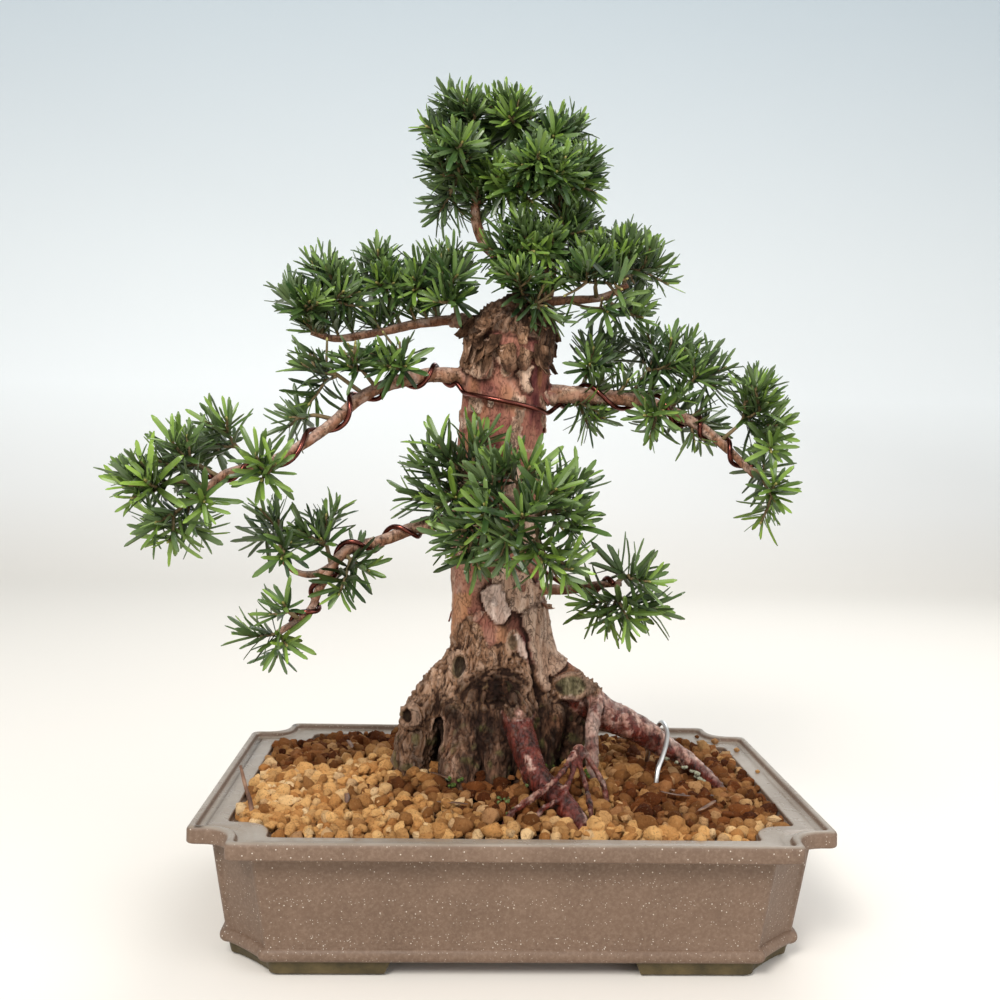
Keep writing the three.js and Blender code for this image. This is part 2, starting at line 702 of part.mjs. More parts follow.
// The least distance between two straight rods' axes.
function rodDistance(a0, a1, b0, b1) {
  const u = a1.clone().sub(a0);
  const v = b1.clone().sub(b0);
  const w = a0.clone().sub(b0);
  const [uu, uv, vv, uw, vw] = [u.dot(u), u.dot(v), v.dot(v), u.dot(w), v.dot(w)];
  const bottom = uu * vv - uv * uv;
  let s = bottom > 1e-9 ? THREE.MathUtils.clamp((uv * vw - vv * uw) / bottom, 0, 1) : 0;
  const t = THREE.MathUtils.clamp((uv * s + vw) / vv, 0, 1);
  s = THREE.MathUtils.clamp((uv * t - uw) / uu, 0, 1);
  return w.clone().addScaledVector(u, s).addScaledVector(v, -t).length();
}

function rodsNear(owner, from, to, radius) {
  return placed.filter(
    (rod) => rod.owner !== owner && rodDistance(from, to, rod.a, rod.b) < radius + rod.radius + GAP,
  );
}

// The stem leaves its limb a little behind the shoots that it carries, and forks to each tip.
function sprayStems([limbName, tips]) {
  const curve = curveOf(LIMBS[limbName].route);
  const ends = tips.map(vec);
  const centre = ends.reduce((sum, p) => sum.add(p), new THREE.Vector3()).divideScalar(ends.length);
  const reach = curve.getPoints(LIMB_STEPS).map((point) => point.distanceTo(centre));
  const nearest = reach.indexOf(Math.min(...reach)) / LIMB_STEPS;
  const base = curve.getPoint(THREE.MathUtils.clamp(nearest - STEM_LAG, 0.02, 0.98));
  const hub = base.clone().lerp(centre, FORK_SHARE);
  hub.z += FORK_RISE * base.distanceTo(centre);
  return ends.map((tip, i) => {
    const bend = hub.clone().lerp(tip, 0.5).add(new THREE.Vector3(0, 0, -SAG * hub.distanceTo(tip)));
    return {
      points: [hub, bend, tip],
      radii: [i === 0 ? TWIG_RADIUS * 0.9 : FORK_RADIUS, SHOOT_RADIUS, SHOOT_RADIUS * 0.7],
      base: i === 0 ? base : null,
    };
  });
}

// A leafy shoot is a three-sided stem. Each side of its short bands is drawn out to a needle,
// and so is its end.
function shootBody(shoot, needles) {
  const { centres, rings } = shootRings(shoot);
  const vertices = rings.flat();
  const faces = [0, 2, 1];
  for (let k = 0; k < rings.length - 1; k++) {
    for (let i = 0; i < 3; i++) {
      const j = (i + 1) % 3;
      const quad = [k * 3 + i, k * 3 + j, k * 3 + 3 + j, k * 3 + 3 + i];
      const point = needles.find((needle) => needle.band === k && needle.side === i);
      if (point) {
        vertices.push(point.end);
        const apex = vertices.length - 1;
        for (let e = 0; e < 4; e++) faces.push(quad[e], quad[(e + 1) % 4], apex);
      } else {
        faces.push(quad[0], quad[1], quad[2], quad[0], quad[2], quad[3]);
      }
    }
  }
  const last = (rings.length - 1) * 3;
  const tip = centres.at(-1);
  const ahead = tip.clone().sub(centres.at(-2)).normalize();
  vertices.push(tip.clone().addScaledVector(ahead, NEEDLE_LENGTH * END_SHARE));
  for (let i = 0; i < 3; i++) faces.push(last + i, last + ((i + 1) % 3), vertices.length - 1);
  const geometry = new THREE.BufferGeometry().setFromPoints(vertices);
  geometry.setIndex(faces);
  return toSolid(geometry);
}

// The rings of a shoot, two for each whorl of needles. The first shoot of a spray carries its stem on.
function shootRings({ points, radii, base }) {
  const [hub, , tip] = points;
  const curve = new THREE.QuadraticBezierCurve3(...points);
  const length = hub.distanceTo(tip);
  const stations = [0];
  for (const whorl of WHORLS) {
    const back = Math.min(whorl.back, length * whorl.mostShare);
    stations.push(1 - back / length, Math.min(1 - (back - BAND) / length, 1));
  }
  const centres = stations.map((t) => curve.getPoint(t));
  const sizes = stations.map((t) => mix(radii[0], radii[2], t));
  if (base) {
    centres.unshift(base);
    sizes.unshift(TWIG_RADIUS);
  }
  return { centres, rings: tubeRings(centres, sizes, 3) };
}

// The needles that a shoot can hold without touching what is already placed.
function needlesOf(owner, shoot) {
  const { centres, rings } = shootRings(shoot);
  const first = shoot.base ? 2 : 1;
  const found = [];
  WHORLS.forEach((whorl, w) => {
    const band = 2 * w + first;
    const centre = centres[band].clone().lerp(centres[band + 1], 0.5);
    const along = centres[band + 1].clone().sub(centres[band]).normalize();
    for (let side = 0; side < 3; side++) {
      const next = (side + 1) % 3;
      const corners = [rings[band][side], rings[band][next], rings[band + 1][side], rings[band + 1][next]];
      const from = corners.reduce((sum, p) => sum.add(p), new THREE.Vector3()).divideScalar(4);
      const outward = from.clone().sub(centre).normalize();
      const across = along.clone().cross(outward);
      for (const [turn, share] of TRIES) {
        const swung = outward.clone().multiplyScalar(Math.cos(turn)).addScaledVector(across, Math.sin(turn));
        const reach = NEEDLE_LENGTH * share;
        const end = from
          .clone()
          .addScaledVector(along, Math.cos(whorl.tilt) * reach)
          .addScaledVector(swung, Math.sin(whorl.tilt) * reach);
        if (rodsNear(owner, from, end, NEEDLE_RADIUS).length) continue;
        placed.push({ owner, a: from, b: end, radius: NEEDLE_RADIUS });
        found.push({ band, side, end });
        break;
      }
    }
  });
  return found;
}

// The line of a shoot with its stem, and the radius at each of its points.
function stemLine({ points, radii, base }) {
  return base ? [[base, ...points], [TWIG_RADIUS, ...radii]] : [points, radii];
}

// A clear channel round a rod, a little longer than the rod.
function channel({ a, b, radius }) {
  const over = b.clone().sub(a).normalize().multiplyScalar(GAP);
  const wide = radius + 2 * GAP;
  return tube([a.clone().sub(over), b.clone().add(over)], [wide, wide], 6);
}

// Where two sprays' stems would cross, the later spray is cut clear of the earlier one.
function buildSprays(nearWood) {
  const sprays = SPRAYS.map(sprayStems);
  sprays.forEach((shoots, k) => shoots.forEach((shoot) => place(k, ...stemLine(shoot))));
  return sprays.map((shoots, k) => {
    let body = wasm.Manifold.union(shoots.map((shoot) => shootBody(shoot, needlesOf(k, shoot))));
    for (const shoot of shoots) {
      const [line] = stemLine(shoot);
      for (let i = 1; i < line.length; i++) {
        const earlier = rodsNear(k, line[i - 1], line[i], TWIG_RADIUS).filter((rod) => rod.owner < k);
        for (const rod of earlier) body = body.subtract(channel(rod));
      }
    }
    return largestBody(body.subtract(nearWood));
  });
}

const plant = new THREE.Group();
const routes = Object.entries(WIRES).map(([name, wire]) => [name, wireRoute(wire)]);
const tie = tieRoute();
const wireChannels = routes.map(([, points]) => wireTube(points, WIRE_RADIUS + GAP));
const tieChannel = wireTube(tie, TIE_RADIUS + GAP);

place("wood", TRUNK.map(([x, y, z]) => new THREE.Vector3(x, y, z)), TRUNK.map((section) => section[3]));
for (const limb of Object.values(LIMBS)) place("wood", ...limbPoints(limb, 12));
for (const [name, points] of routes) place(name, points, points.map(() => WIRE_RADIUS));

const nearWood = wireChannels.reduce((wood, body) => wood.add(body), crownWood(GAP));
const holes = [trunkBody(GAP * 1.5), ...ROOTS.map((root) => rootBody(root, GAP * 1.5)), tieChannel];
holes.push(limbBody(DRY_TWIG, GAP));

plant.add(toMesh("pot", buildPot(), MATERIALS.stoneware));
plant.add(toMesh("soil", buildSoil(holes), MATERIALS.soil));
plant.add(toMesh("screen_left", screenAt(-DRAIN_SPACING / 2), MATERIALS.screen));
plant.add(toMesh("screen_right", screenAt(DRAIN_SPACING / 2), MATERIALS.screen));
plant.add(toMesh("trunk", buildWood([...wireChannels, tieChannel]), MATERIALS.bark));
for (const [name, points] of routes) {
  plant.add(toMesh(name, wireTube(points, WIRE_RADIUS), MATERIALS.brown_wire));
}
plant.add(toMesh("tie_wire", wireTube(tie, TIE_RADIUS), MATERIALS.bright_wire));
plant.add(toMesh("dry_twig", limbBody(DRY_TWIG), MATERIALS.bark));
buildSprays(nearWood).forEach((body, k) => {
  plant.add(toMesh(`spray_${SPRAYS[k][0]}_${String(k + 1).padStart(2, "0")}`, body, MATERIALS.needles));
});

// The origin is the middle of the plant's box, on the plane that the pot's feet rest on.
const bounds = new THREE.Box3().setFromObject(plant);
const middle = bounds.getCenter(new THREE.Vector3());
plant.position.set(-middle.x, -middle.y, -bounds.min.z);

const root = new THREE.Group();
root.add(plant);

export default root;
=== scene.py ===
"""A Japanese yew bonsai in its footed stoneware pot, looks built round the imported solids.

Lengths are millimetres in the pot's own frame (X along the pot, -Y the front, Z up from the feet's plane).
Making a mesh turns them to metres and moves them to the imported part's frame.
"""

import math
import random

import bpy
import numpy as np
from mathutils import Matrix, Vector, noise
from mathutils.bvhtree import BVHTree

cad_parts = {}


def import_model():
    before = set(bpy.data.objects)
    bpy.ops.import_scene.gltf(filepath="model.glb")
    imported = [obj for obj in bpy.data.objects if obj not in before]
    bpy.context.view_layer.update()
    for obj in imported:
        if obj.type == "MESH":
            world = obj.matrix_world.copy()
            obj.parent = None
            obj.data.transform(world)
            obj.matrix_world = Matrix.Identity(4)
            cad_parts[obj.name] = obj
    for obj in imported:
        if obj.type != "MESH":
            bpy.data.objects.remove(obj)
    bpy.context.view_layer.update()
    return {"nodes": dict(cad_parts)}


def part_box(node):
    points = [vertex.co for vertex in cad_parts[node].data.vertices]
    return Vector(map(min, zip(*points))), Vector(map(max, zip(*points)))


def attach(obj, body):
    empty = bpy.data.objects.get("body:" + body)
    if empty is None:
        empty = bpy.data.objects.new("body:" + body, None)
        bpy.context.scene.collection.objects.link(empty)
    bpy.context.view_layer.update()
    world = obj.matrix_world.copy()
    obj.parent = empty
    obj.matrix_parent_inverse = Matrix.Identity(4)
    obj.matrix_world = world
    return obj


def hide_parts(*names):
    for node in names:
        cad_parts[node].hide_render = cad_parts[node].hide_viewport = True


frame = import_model()

# Camera, fitted to the pot's rim and feet in the photograph
PHOTO_SIDE = 1000
FOCAL_PIXELS = 1150
CAMERA_AT = (-39.98, -746.04, 298.96)
CAMERA_YAW = 0.042
CAMERA_PITCH = 0.0479
CAMERA_ROLL = -0.022
SENSOR = 36.0
CLIP_START = 0.05

# Studio, in metres
WALL_HALF = 4.0
WALL_AT = 1.6
WALL_BEND = 0.8
WALL_TALL = 4.0
BEND_STEPS = 12
FLOOR_CLEARANCE = 0.0004
SKY_COLOUR = (0.94, 0.97, 1.0, 1)
SKY_STRENGTH = 0.62
# Each lamp: its place, the point that it faces, its side, its power and its colour.
LAMPS = {
    "key": ((-0.7, -1.6, 1.6), (0, 0, 0.25), 0.8, 44, (1, 0.98, 0.95)),
    "fill": ((1.4, -1.2, 0.9), (0, 0, 0.25), 1.4, 14, (0.98, 0.98, 1)),
    "back": ((0.6, 1.1, 1.5), (0, 0, 0.2), 1.2, 14, (1, 1, 1)),
}

# Pot
POT_LENGTH = 370
POT_DEPTH = 268
POT_HEIGHT = 82.4
CORNER_NOTCH = 26
RIM_HEIGHT = 10
RIM_WIDTH = 20
RIM_OVERHANG = 11
BEAD_WIDTH = 5
BEAD_RISE = 3
EDGE_ROUND = 1.5
RIM_INNER_EDGE = 6
WALL = 9
WALL_TAPER = 8
BELT_HEIGHT = 8
BELT_BULGE = 3
FOOT_HEIGHT = 9
FOOT_LENGTH = 74
FOOT_WIDTH = 46
FOOT_THICKNESS = 20
FLOOR_THICKNESS = 8
DRAIN_RADIUS = 11
DRAIN_SPACING = 170
TIE_HOLE_RADIUS = 2.4
TIE_HOLE = {"x": 98, "y": 34}
FLOOR_TOP = FOOT_HEIGHT + FLOOR_THICKNESS
RIM_BASE = POT_HEIGHT - RIM_HEIGHT
RIM_FLAT = POT_HEIGHT - BEAD_RISE
BODY_FOOT_INSET = RIM_OVERHANG + WALL_TAPER
NOTCH_STEPS = 12
NOTCH_ROUND = 0.16
NOTCH_POWER = 0.74
BODY_HOLLOW = 0.1
FOOT_INSET = 3
POT_SHARP = math.radians(38)

# Soil
SOIL_EDGE = 75.5
MOUND_RISE = 17
MOUND_CENTRE = (-10, 5)
MOUND_SPREAD = (76, 62)
GRANULE_PITCH = 6.9
GRANULE_ROW = 0.87
GRANULE_JITTER = 0.35
GRANULE_RADIUS = (2.7, 5.2)
GRANULE_SHAPES = 24
GRANULE_SHARP = math.radians(48)
# The share of granules with another one on top, and how much higher that one lies.
UPPER_SHARE = 0.5
LAYER_RISE = 3.0
# Granules that fell on the rim: x, y, radius, and how wet each is.
STRAY_GRANULES = [(160, 96, 2.6, 0.8), (171, 74, 2, 0.6), (150, 112, 1.6, 0.9), (172, 20, 1.5, 0.5)]
# The dark wet ground in front of the trunk: its centre and its spread.
WET_GROUND = ((-2, -52), (64, 38))
# A lump is a ball cut by planes: how many, and at which share of its radius.
LUMP_CUTS = 13
CUT_REACH = (0.76, 1.0)
LUMP_ROUGHNESS = 0.34

# Cushions of moss and lichen: centre, spread, number of lumps and how grey.
MOSS = [
    (118, -18, 94, 2.6, 34, 1.0),
    (125, -12, 93, 2.0, 18, 1.0),
    (101, -14, 96, 1.4, 9, 0.9),
    (-47, -46, 92, 2.6, 16, 0.6),
    (33, -66, 84, 3.0, 30, 0.0),
    (24, -60, 86, 2.4, 16, 0.05),
    (-4, -68, 86, 3.0, 24, 0.15),
    (32, -30, 90, 4.0, 24, 0.05),
    (-38, -46, 90, 3.2, 18, 0.05),
]
MOSS_RISE = 4.0
MOSS_RADIUS = (0.55, 1.5)
MOSS_SHAPES = 6
FALLEN_NEEDLES = 8
FALLEN_RISE = 6.5

# Bark
WOOD_VOXEL = 1.3
LIMB_STUMP = 12
SIDE_LIMBS = ("leader_cross", "lower_left_side")
# Curled scales of bark: how many, between which heights, centre and radius of the ring from which
# rays find their places, their sizes and how much they curl.
FLAKES = [
    (38, (354, 382), (-4, 6), 40, (9, 19), 0.3),
    (26, (186, 335), (-7, 5), 60, (4, 9), 0.16),
]
# The big scale at the right: where it is looked for from, the way that it hangs, its size and its curl.
BIG_FLAKE = ((30, -18, 196), (0.75, -0.1, 0.65), 9, 0.1)
TRUNK_AXIS = (-7, 5)
FLAKE_THICKNESS = 0.5
FLAKE_COLUMNS = 5
FLAKE_ROWS = 6
# Between these heights the upper trunk's bark turns from smooth to flaky.
UPPER_TRUNK = (285, 312)
# Between these heights, and above the last, the front's patches are given one by one.
LOWER_PATCHES = (150, 226)
UPPER_PATCHES = 326
# Centre and spread, in x and z, of the foot's dark heart, painted shade in its folds, and of the painted
# shade under the scar.
HEART = ((-10, 145), (23, 13))
SHOULDER = ((47, 136), (15, 14))
FOLDS_CENTRE = (-8, 136)
# The height below which a root shows red, on the left and on the right of RED_SIDE.
RED_BELOW = (134, 141)
RED_SIDE = 34

# Wires
WIRE_RADIUS = 1.55
TIE_RADIUS = 1.55
WIRE_PITCH = 30
STEPS_PER_TURN = 9
WIRES = {
    "wire_upper": {
        "first": {"limb": "mid_left", "start": 0.18, "end": 0.92, "angle": 5.4, "way": -1},
        "across": {"angles": (206, 334), "heights": (332, 320), "steps": 8},
        "last": {"limb": "right", "start": 0.19, "end": 0.96, "angle": 4.2, "way": 1},
    },
    "wire_lower": {
        "first": {"limb": "lower_left", "start": 0.26, "end": 0.94, "angle": 3.6, "way": 1},
        "across": {"angles": (166, 4), "heights": (245, 216), "steps": 10},
        "last": {"limb": "lower_right", "start": 0.44, "end": 0.95, "angle": 0.2, "way": 1},
    },
}
TIE_OVER_ROOT = [(93, -31, 74), (94.5, -27, 93), (98.5, -21, 101), (102, -14.5, 108), (103.5, -9, 113.5),
                 (103, -2, 117.5), (102, 5, 117), (100, 10, 112), (98, 15, 104)]
TIE_END = [(98, 22, 112), (98, 26, 96), (98, 33, 80)]

# Each section of the trunk: centre x, y, z, then half width and half depth.
TRUNK = [
    (-8, 3, 60, 38, 30),
    (-7, 3, 100, 42, 33),
    (-5, 4, 122, 43, 34),
    (-5, 4, 140, 40, 32),
    (-6, 5, 156, 36, 31),
    (-7, 5, 174, 32, 30),
    (-8, 5, 194, 30, 29),
    (-9.5, 5, 214, 28.5, 28),
    (-9.5, 5, 250, 28, 27.5),
    (-8.5, 5, 290, 27, 27),
    (-6.5, 5, 325, 26.5, 26),
    (-5, 5, 352, 27.5, 26),
    (-4, 6, 370, 27.5, 25),
    (-2, 7, 381, 24, 22),
    (3, 8, 390, 18, 16),
    (6, 8, 397, 9, 9),
]
FLUTES = [(3, 0.05, 0.5), (7, 0.035, -0.9)]
LIMB_TAPER = 0.8

# Each limb: the points that it runs through, then its radius at the start and at the end.
LIMBS = {
    "leader": (
        [(-5, 8, 371), (4, 8, 392), (2, 10, 407), (-10, 10, 419), (-22, 8, 430), (-28, 4, 444), (-28, 1, 462),
         (-33, 0, 477), (-42, -2, 488)],
        (6.5, 2),
    ),
    "leader_right": (
        [(6, 8, 376), (17, 6, 399), (22, 4, 418), (26, 2, 438), (27, 1, 460), (18, 6, 480), (6, 8, 496)],
        (6, 1.9),
    ),
    "leader_cross": ([(-28, 1, 464), (-15, -4, 466), (-4, -10, 460), (5, -16, 459)], (2.8, 1.6)),
    "upper_left": (
        [(-8, 10, 364), (-33, 14, 379), (-57, 10, 378), (-90, 6, 370), (-118, 2, 365), (-132, -2, 368)],
        (4.6, 1.8),
    ),
    "mid_left": (
        [(-5, 6, 336), (-31, 2, 342), (-50, -4, 343), (-74, -14, 338), (-97, -24, 327), (-118, -42, 306),
         (-147, -64, 286), (-172, -77, 278), (-183, -85, 266)],
        (6.2, 2),
    ),
    "lower_left": (
        [(-10, 2, 255), (-38, -8, 250), (-61, -18, 246), (-82, -26, 238), (-105, -37, 231), (-118, -48, 212),
         (-124, -54, 197), (-142, -60, 184)],
        (5.6, 1.9),
    ),
    "lower_left_side": ([(-112, -42, 223), (-122, -46, 218), (-134, -43, 219), (-145, -42, 228)], (2.6, 1.6)),
    "front": ([(-8, 0, 262), (-4, -34, 263), (4, -60, 260), (10, -80, 256)], (5.4, 2)),
    "lower_right": (
        [(2, 0, 208), (25, -22, 208), (37, -34, 210), (50, -44, 214), (64, -52, 216)],
        (4.4, 1.8),
    ),
    "right": (
        [(-4, 6, 338), (22, 4, 333), (44, 2, 332), (83, -2, 329), (110, -8, 318), (122, -12, 311),
         (138, -18, 297), (151, -26, 283)],
        (7.6, 2),
    ),
    "upper_right": ([(-4, 10, 380), (10, 6, 391), (30, 0, 393), (54, -5, 395), (70, -8, 403)], (4.6, 1.8)),
}

# The surface roots: route, radii, and how red and wet the root looks.
ROOTS = [
    ([(-20, 2, 158), (-41, -3, 143), (-55, -6, 122), (-61, -8, 100), (-64, -8, 62)], (15, 12), 0.0),
    ([(-24, -2, 160), (-29, -14, 128), (-31, -24, 104), (-33, -32, 84), (-34, -36, 62)], (19, 9), 0.1),
    ([(-8, -6, 156), (-8, -18, 124), (-8, -28, 100), (-9, -36, 62)], (16, 7), 0.1),
    ([(2, -8, 156), (3, -26, 134), (8, -42, 113), (16, -58, 97), (25, -68, 90), (33, -78, 84), (39, -87, 76),
      (42, -91, 66)], (11, 5), 1.0),
    ([(14, 2, 158), (42, 0, 139), (63, 0, 124), (88, 0, 113), (101, 0, 104), (114, -2, 97), (127, -6, 88),
      (139, -12, 78), (148, -17, 66)], (15, 1.8), 0.9),
    ([(44, -4, 146), (55, -12, 137), (53, -18, 117), (53, -22, 95), (54, -26, 66)], (6, 3.4), 0.6),
    ([(58, -60, 74), (57, -56, 90), (50, -50, 103), (42, -46, 113), (33, -61, 106), (21, -77, 98),
      (8, -84, 91), (-3, -88, 84), (-9, -90, 70)], (2, 1.7), 0.9),
    ([(30, 2, 146), (42, 4, 126), (44, 6, 104), (40, 8, 66)], (13, 10), 0.1),
    ([(42, -44, 113), (36, -62, 101), (27, -80, 91), (15, -86, 86), (9, -88, 70)], (1.8, 1.5), 1.0),
    ([(42, -44, 113), (42, -53, 103), (45, -67, 92), (46, -78, 83), (47, -82, 68)], (1.8, 1.5), 1.0),
    ([(-16, 12, 152), (-38, 34, 124), (-54, 52, 100), (-66, 66, 66)], (18, 6), 0.2),
    ([(4, 12, 152), (20, 36, 122), (36, 56, 98), (48, 70, 66)], (17, 6), 0.3),
]
STUB = {"from": (-56, -10, 124), "to": (-67, -24, 126), "radii": (8, 6)}
DRY_TWIG = ([(-153, -74, 68), (-155, -70, 83), (-159, -66, 93), (-163, -61, 104)], (1.7, 1))

# Each spray: the limb that it grows on and the tips of its shoots.
SPRAYS = [
    ("upper_left", [(-146, -5, 389), (-137, -15, 384)]),
    ("upper_left", [(-125, 5, 409), (-115, -12, 404), (-110, -22, 392)]),
    ("upper_left", [(-93, 8, 419), (-84, -10, 409), (-105, 25, 406)]),
    ("upper_left", [(-55, 5, 419), (-67, -12, 403), (-75, 34, 410), (-51, 32, 412)]),
    ("upper_left", [(-38, 6, 415), (-49, -14, 403), (-40, -14, 389)]),
    ("mid_left", [(-129, -25, 354), (-134, -32, 346), (-123, -28, 336)]),
    ("mid_left", [(-108, -30, 354), (-104, -42, 345)]),
    ("mid_left", [(-86, -22, 356), (-82, -40, 346), (-75, -8, 362), (-70, -34, 346)]),
    ("mid_left", [(-139, -36, 313)]),
    ("mid_left", [(-148, -88, 276)]),
    ("mid_left", [(-173, -66, 305), (-184, -54, 297)]),
    ("mid_left", [(-218, -96, 265), (-222, -84, 276)]),
    ("mid_left", [(-196, -78, 290), (-207, -68, 283)]),
    ("mid_left", [(-204, -98, 252), (-194, -76, 250)]),
    ("right", [(49, 30, 370), (53, 12, 358), (70, 42, 369), (47, -6, 352)]),
    ("right", [(49, 8, 312)]),
    ("right", [(93, 8, 365), (85, 36, 370), (106, 0, 362), (99, -14, 354), (118, 26, 356)]),
    ("right", [(127, 6, 362), (115, -14, 347), (135, -4, 352)]),
    ("right", [(144, -26, 336), (159, -8, 344), (154, -38, 328), (167, -20, 318), (161, -34, 306)]),
    ("right", [(161, -38, 268), (163, -16, 290)]),
    ("right", [(91, -20, 320)]),
    ("front", [(0, -98, 260), (-13, -88, 244)]),
    ("front", [(24, -90, 262), (13, -92, 272)]),
    ("front", [(32, -70, 264), (26, -68, 273), (32, -78, 250)]),
    ("front", [(12, -94, 233), (22, -82, 223), (1, -86, 238)]),
    ("front", [(5, -62, 284), (-12, -66, 289)]),
    ("front", [(-33, -62, 238), (-30, -54, 230), (-38, -62, 247)]),
    ("front", [(-22, -78, 258), (-20, -72, 278)]),
    ("front", [(-50, -42, 300), (-27, -46, 303), (-59, -32, 284), (-65, -26, 264), (-48, -46, 260)]),
    ("lower_left_side", [(-146, -38, 256), (-152, -36, 242), (-136, -54, 238)]),
    ("lower_left_side", [(-119, -30, 246), (-118, -52, 240)]),
    ("lower_left", [(-90, -48, 221), (-98, -28, 230), (-106, -58, 208)]),
    ("lower_left", [(-137, -74, 204), (-145, -66, 196)]),
    ("lower_left", [(-144, -50, 168), (-136, -66, 178), (-162, -56, 182)]),
    ("lower_right", [(79, -64, 219), (76, -46, 224), (62, -42, 226)]),
    ("lower_right", [(67, -66, 196), (54, -58, 194), (86, -54, 201), (44, -54, 204)]),
    ("leader", [(-37, 0, 512), (-50, 4, 498), (-28, -20, 506)]),
    ("leader_right", [(-10, 22, 515), (-17, 2, 514), (-9, -24, 502), (6, 4, 503)]),
    ("leader", [(-50, -6, 469), (-42, -30, 486), (-54, 12, 446)]),
    ("leader", [(-14, 46, 514), (-34, 40, 502), (-42, 36, 474)]),
    ("leader_right", [(32, 14, 491), (24, 4, 498), (18, -16, 496)]),
    ("leader_cross", [(26, -30, 464), (6, -34, 474)]),
    ("leader_right", [(39, -16, 467), (41, 2, 479)]),
    ("leader_right", [(13, 46, 502), (28, 42, 488), (34, 38, 464)]),
    ("leader", [(7, -24, 427), (-7, -14, 421)]),
    ("leader_right", [(32, -8, 437), (15, -28, 418), (44, 16, 446)]),
    ("upper_right", [(70, 10, 436), (70, -14, 422), (57, -26, 416), (89, -12, 415), (80, 42, 418)]),
    ("upper_right", [(65, -34, 403), (44, -32, 410), (31, -28, 405)]),
    ("upper_right", [(77, -6, 384), (49, -14, 386)]),
    ("leader", [(16, -26, 386), (-2, -32, 404)]),
    ("upper_right", [(53, 52, 443), (14, 54, 440)]),
]
STEM_LAG = 0.05
FORK_SHARE = 0.5
FORK_RISE = 0.08
SAG = 0.06
LIMB_STEPS = 50
STEM_STEPS = 9
TWIG_RADIUS = 1.5
SHOOT_RADIUS = 1.1

# Needles
NEEDLE_LENGTH = 23
NEEDLE_WIDTH = 3.8
NEEDLE_THICKNESS = 0.4
NEEDLE_FOLD = 0.12
LEAFY_LENGTH = 27
NEEDLE_SPACING = 0.95
LIGHTWARD = np.array((0, -0.28, 0.24))
# For each limb's sprays: the needles' size and how far apart they stand, how many side shoots each shoot has,
# and how far its needles lean up.
GROWTH = {
    "leader": (0.78, 0.95, 3, 0.16),
    "leader_right": (0.78, 0.95, 3, 0.16),
    "leader_cross": (0.78, 0.95, 6, 0.16),
    "upper_left": (0.8, 1.1, 2, 0.35),
    "upper_right": (0.84, 1.1, 2, 0.45),
    "mid_left": (0.9, 1.25, 1, 0.25),
    "right": (0.84, 1.15, 1, 0.2),
    "front": (1.02, 1.25, 1, 0.32),
    "lower_left": (0.86, 1.05, 0, 0.2),
    "lower_left_side": (0.86, 1.4, 1, 0.2),
    "lower_right": (1.0, 0.78, 0, 0.14),
}
# Short shoots straight on a limb: from and to which share of it, how many, and how far they lean up.
LIMB_SHOOTS = {
    "leader": (0.5, 0.98, 11, 0.4),
    "leader_right": (0.4, 0.86, 10, 0.4),
    "leader_cross": (0.1, 1.0, 14, 0.4),
    "upper_left": (0.34, 0.98, 15, 1.6),
    "mid_left": (0.9, 1.0, 4, 0.3),
    "right": (0.2, 0.66, 15, 0.4),
}
# The limbs that no needle hangs across, and how near to one a needle may reach.
BARE_LIMBS = ("upper_left", "upper_right")
BARE_FROM = 0.3
BARE_GAP = 6.0
SIDE_REACH = (11, 19)
GOLDEN_ANGLE = math.radians(137.5)
# A needle's outline: how far along it, and its width there as a share of the full width.
OUTLINE = [(0, 0.3), (0.15, 0.84), (0.5, 1.0), (0.88, 0.86), (1, 0.24)]
# The sprays whose young growth is a fresh yellow-green in the photograph, and how much.
FRESH = {10: 0.6, 11: 0.5, 12: 1.0, 13: 0.7, 14: 0.8, 19: 0.6, 20: 0.8, 23: 0.4, 25: 0.9, 26: 0.7, 29: 0.5,
         34: 0.7, 35: 0.6, 36: 0.5, 38: 0.5, 47: 0.6}

box_low, box_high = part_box("pot")
SHIFT = (Vector(box_low) + Vector(box_high)) / 2
SHIFT.z = 0
MM = 0.001
rng = random.Random(7)


def world(points):
    """Points in the pot's frame, in millimetres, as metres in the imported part's frame."""
    return np.asarray(points, float) * MM + np.array(SHIFT)


def mix(a, b, t):
    return a + (b - a) * t


def smooth(low, high, value):
    """0 at low, 1 at high and eased between them, for a number or an array."""
    t = np.clip((value - low) / (high - low), 0, 1)
    return t * t * (3 - 2 * t)


def unit(v):
    return v / np.linalg.norm(v)


def away(x, y, centre, spread):
    """The square of a place's distance from a centre, in units of the spread."""
    return ((x - centre[0]) / spread[0]) ** 2 + ((y - centre[1]) / spread[1]) ** 2


def jitter(reach):
    return rng.uniform(-reach, reach)


def any_angle():
    return rng.uniform(0, 2 * math.pi)


def any_direction():
    return [rng.gauss(0, 1) for _ in range(3)]


# Curves and tubes


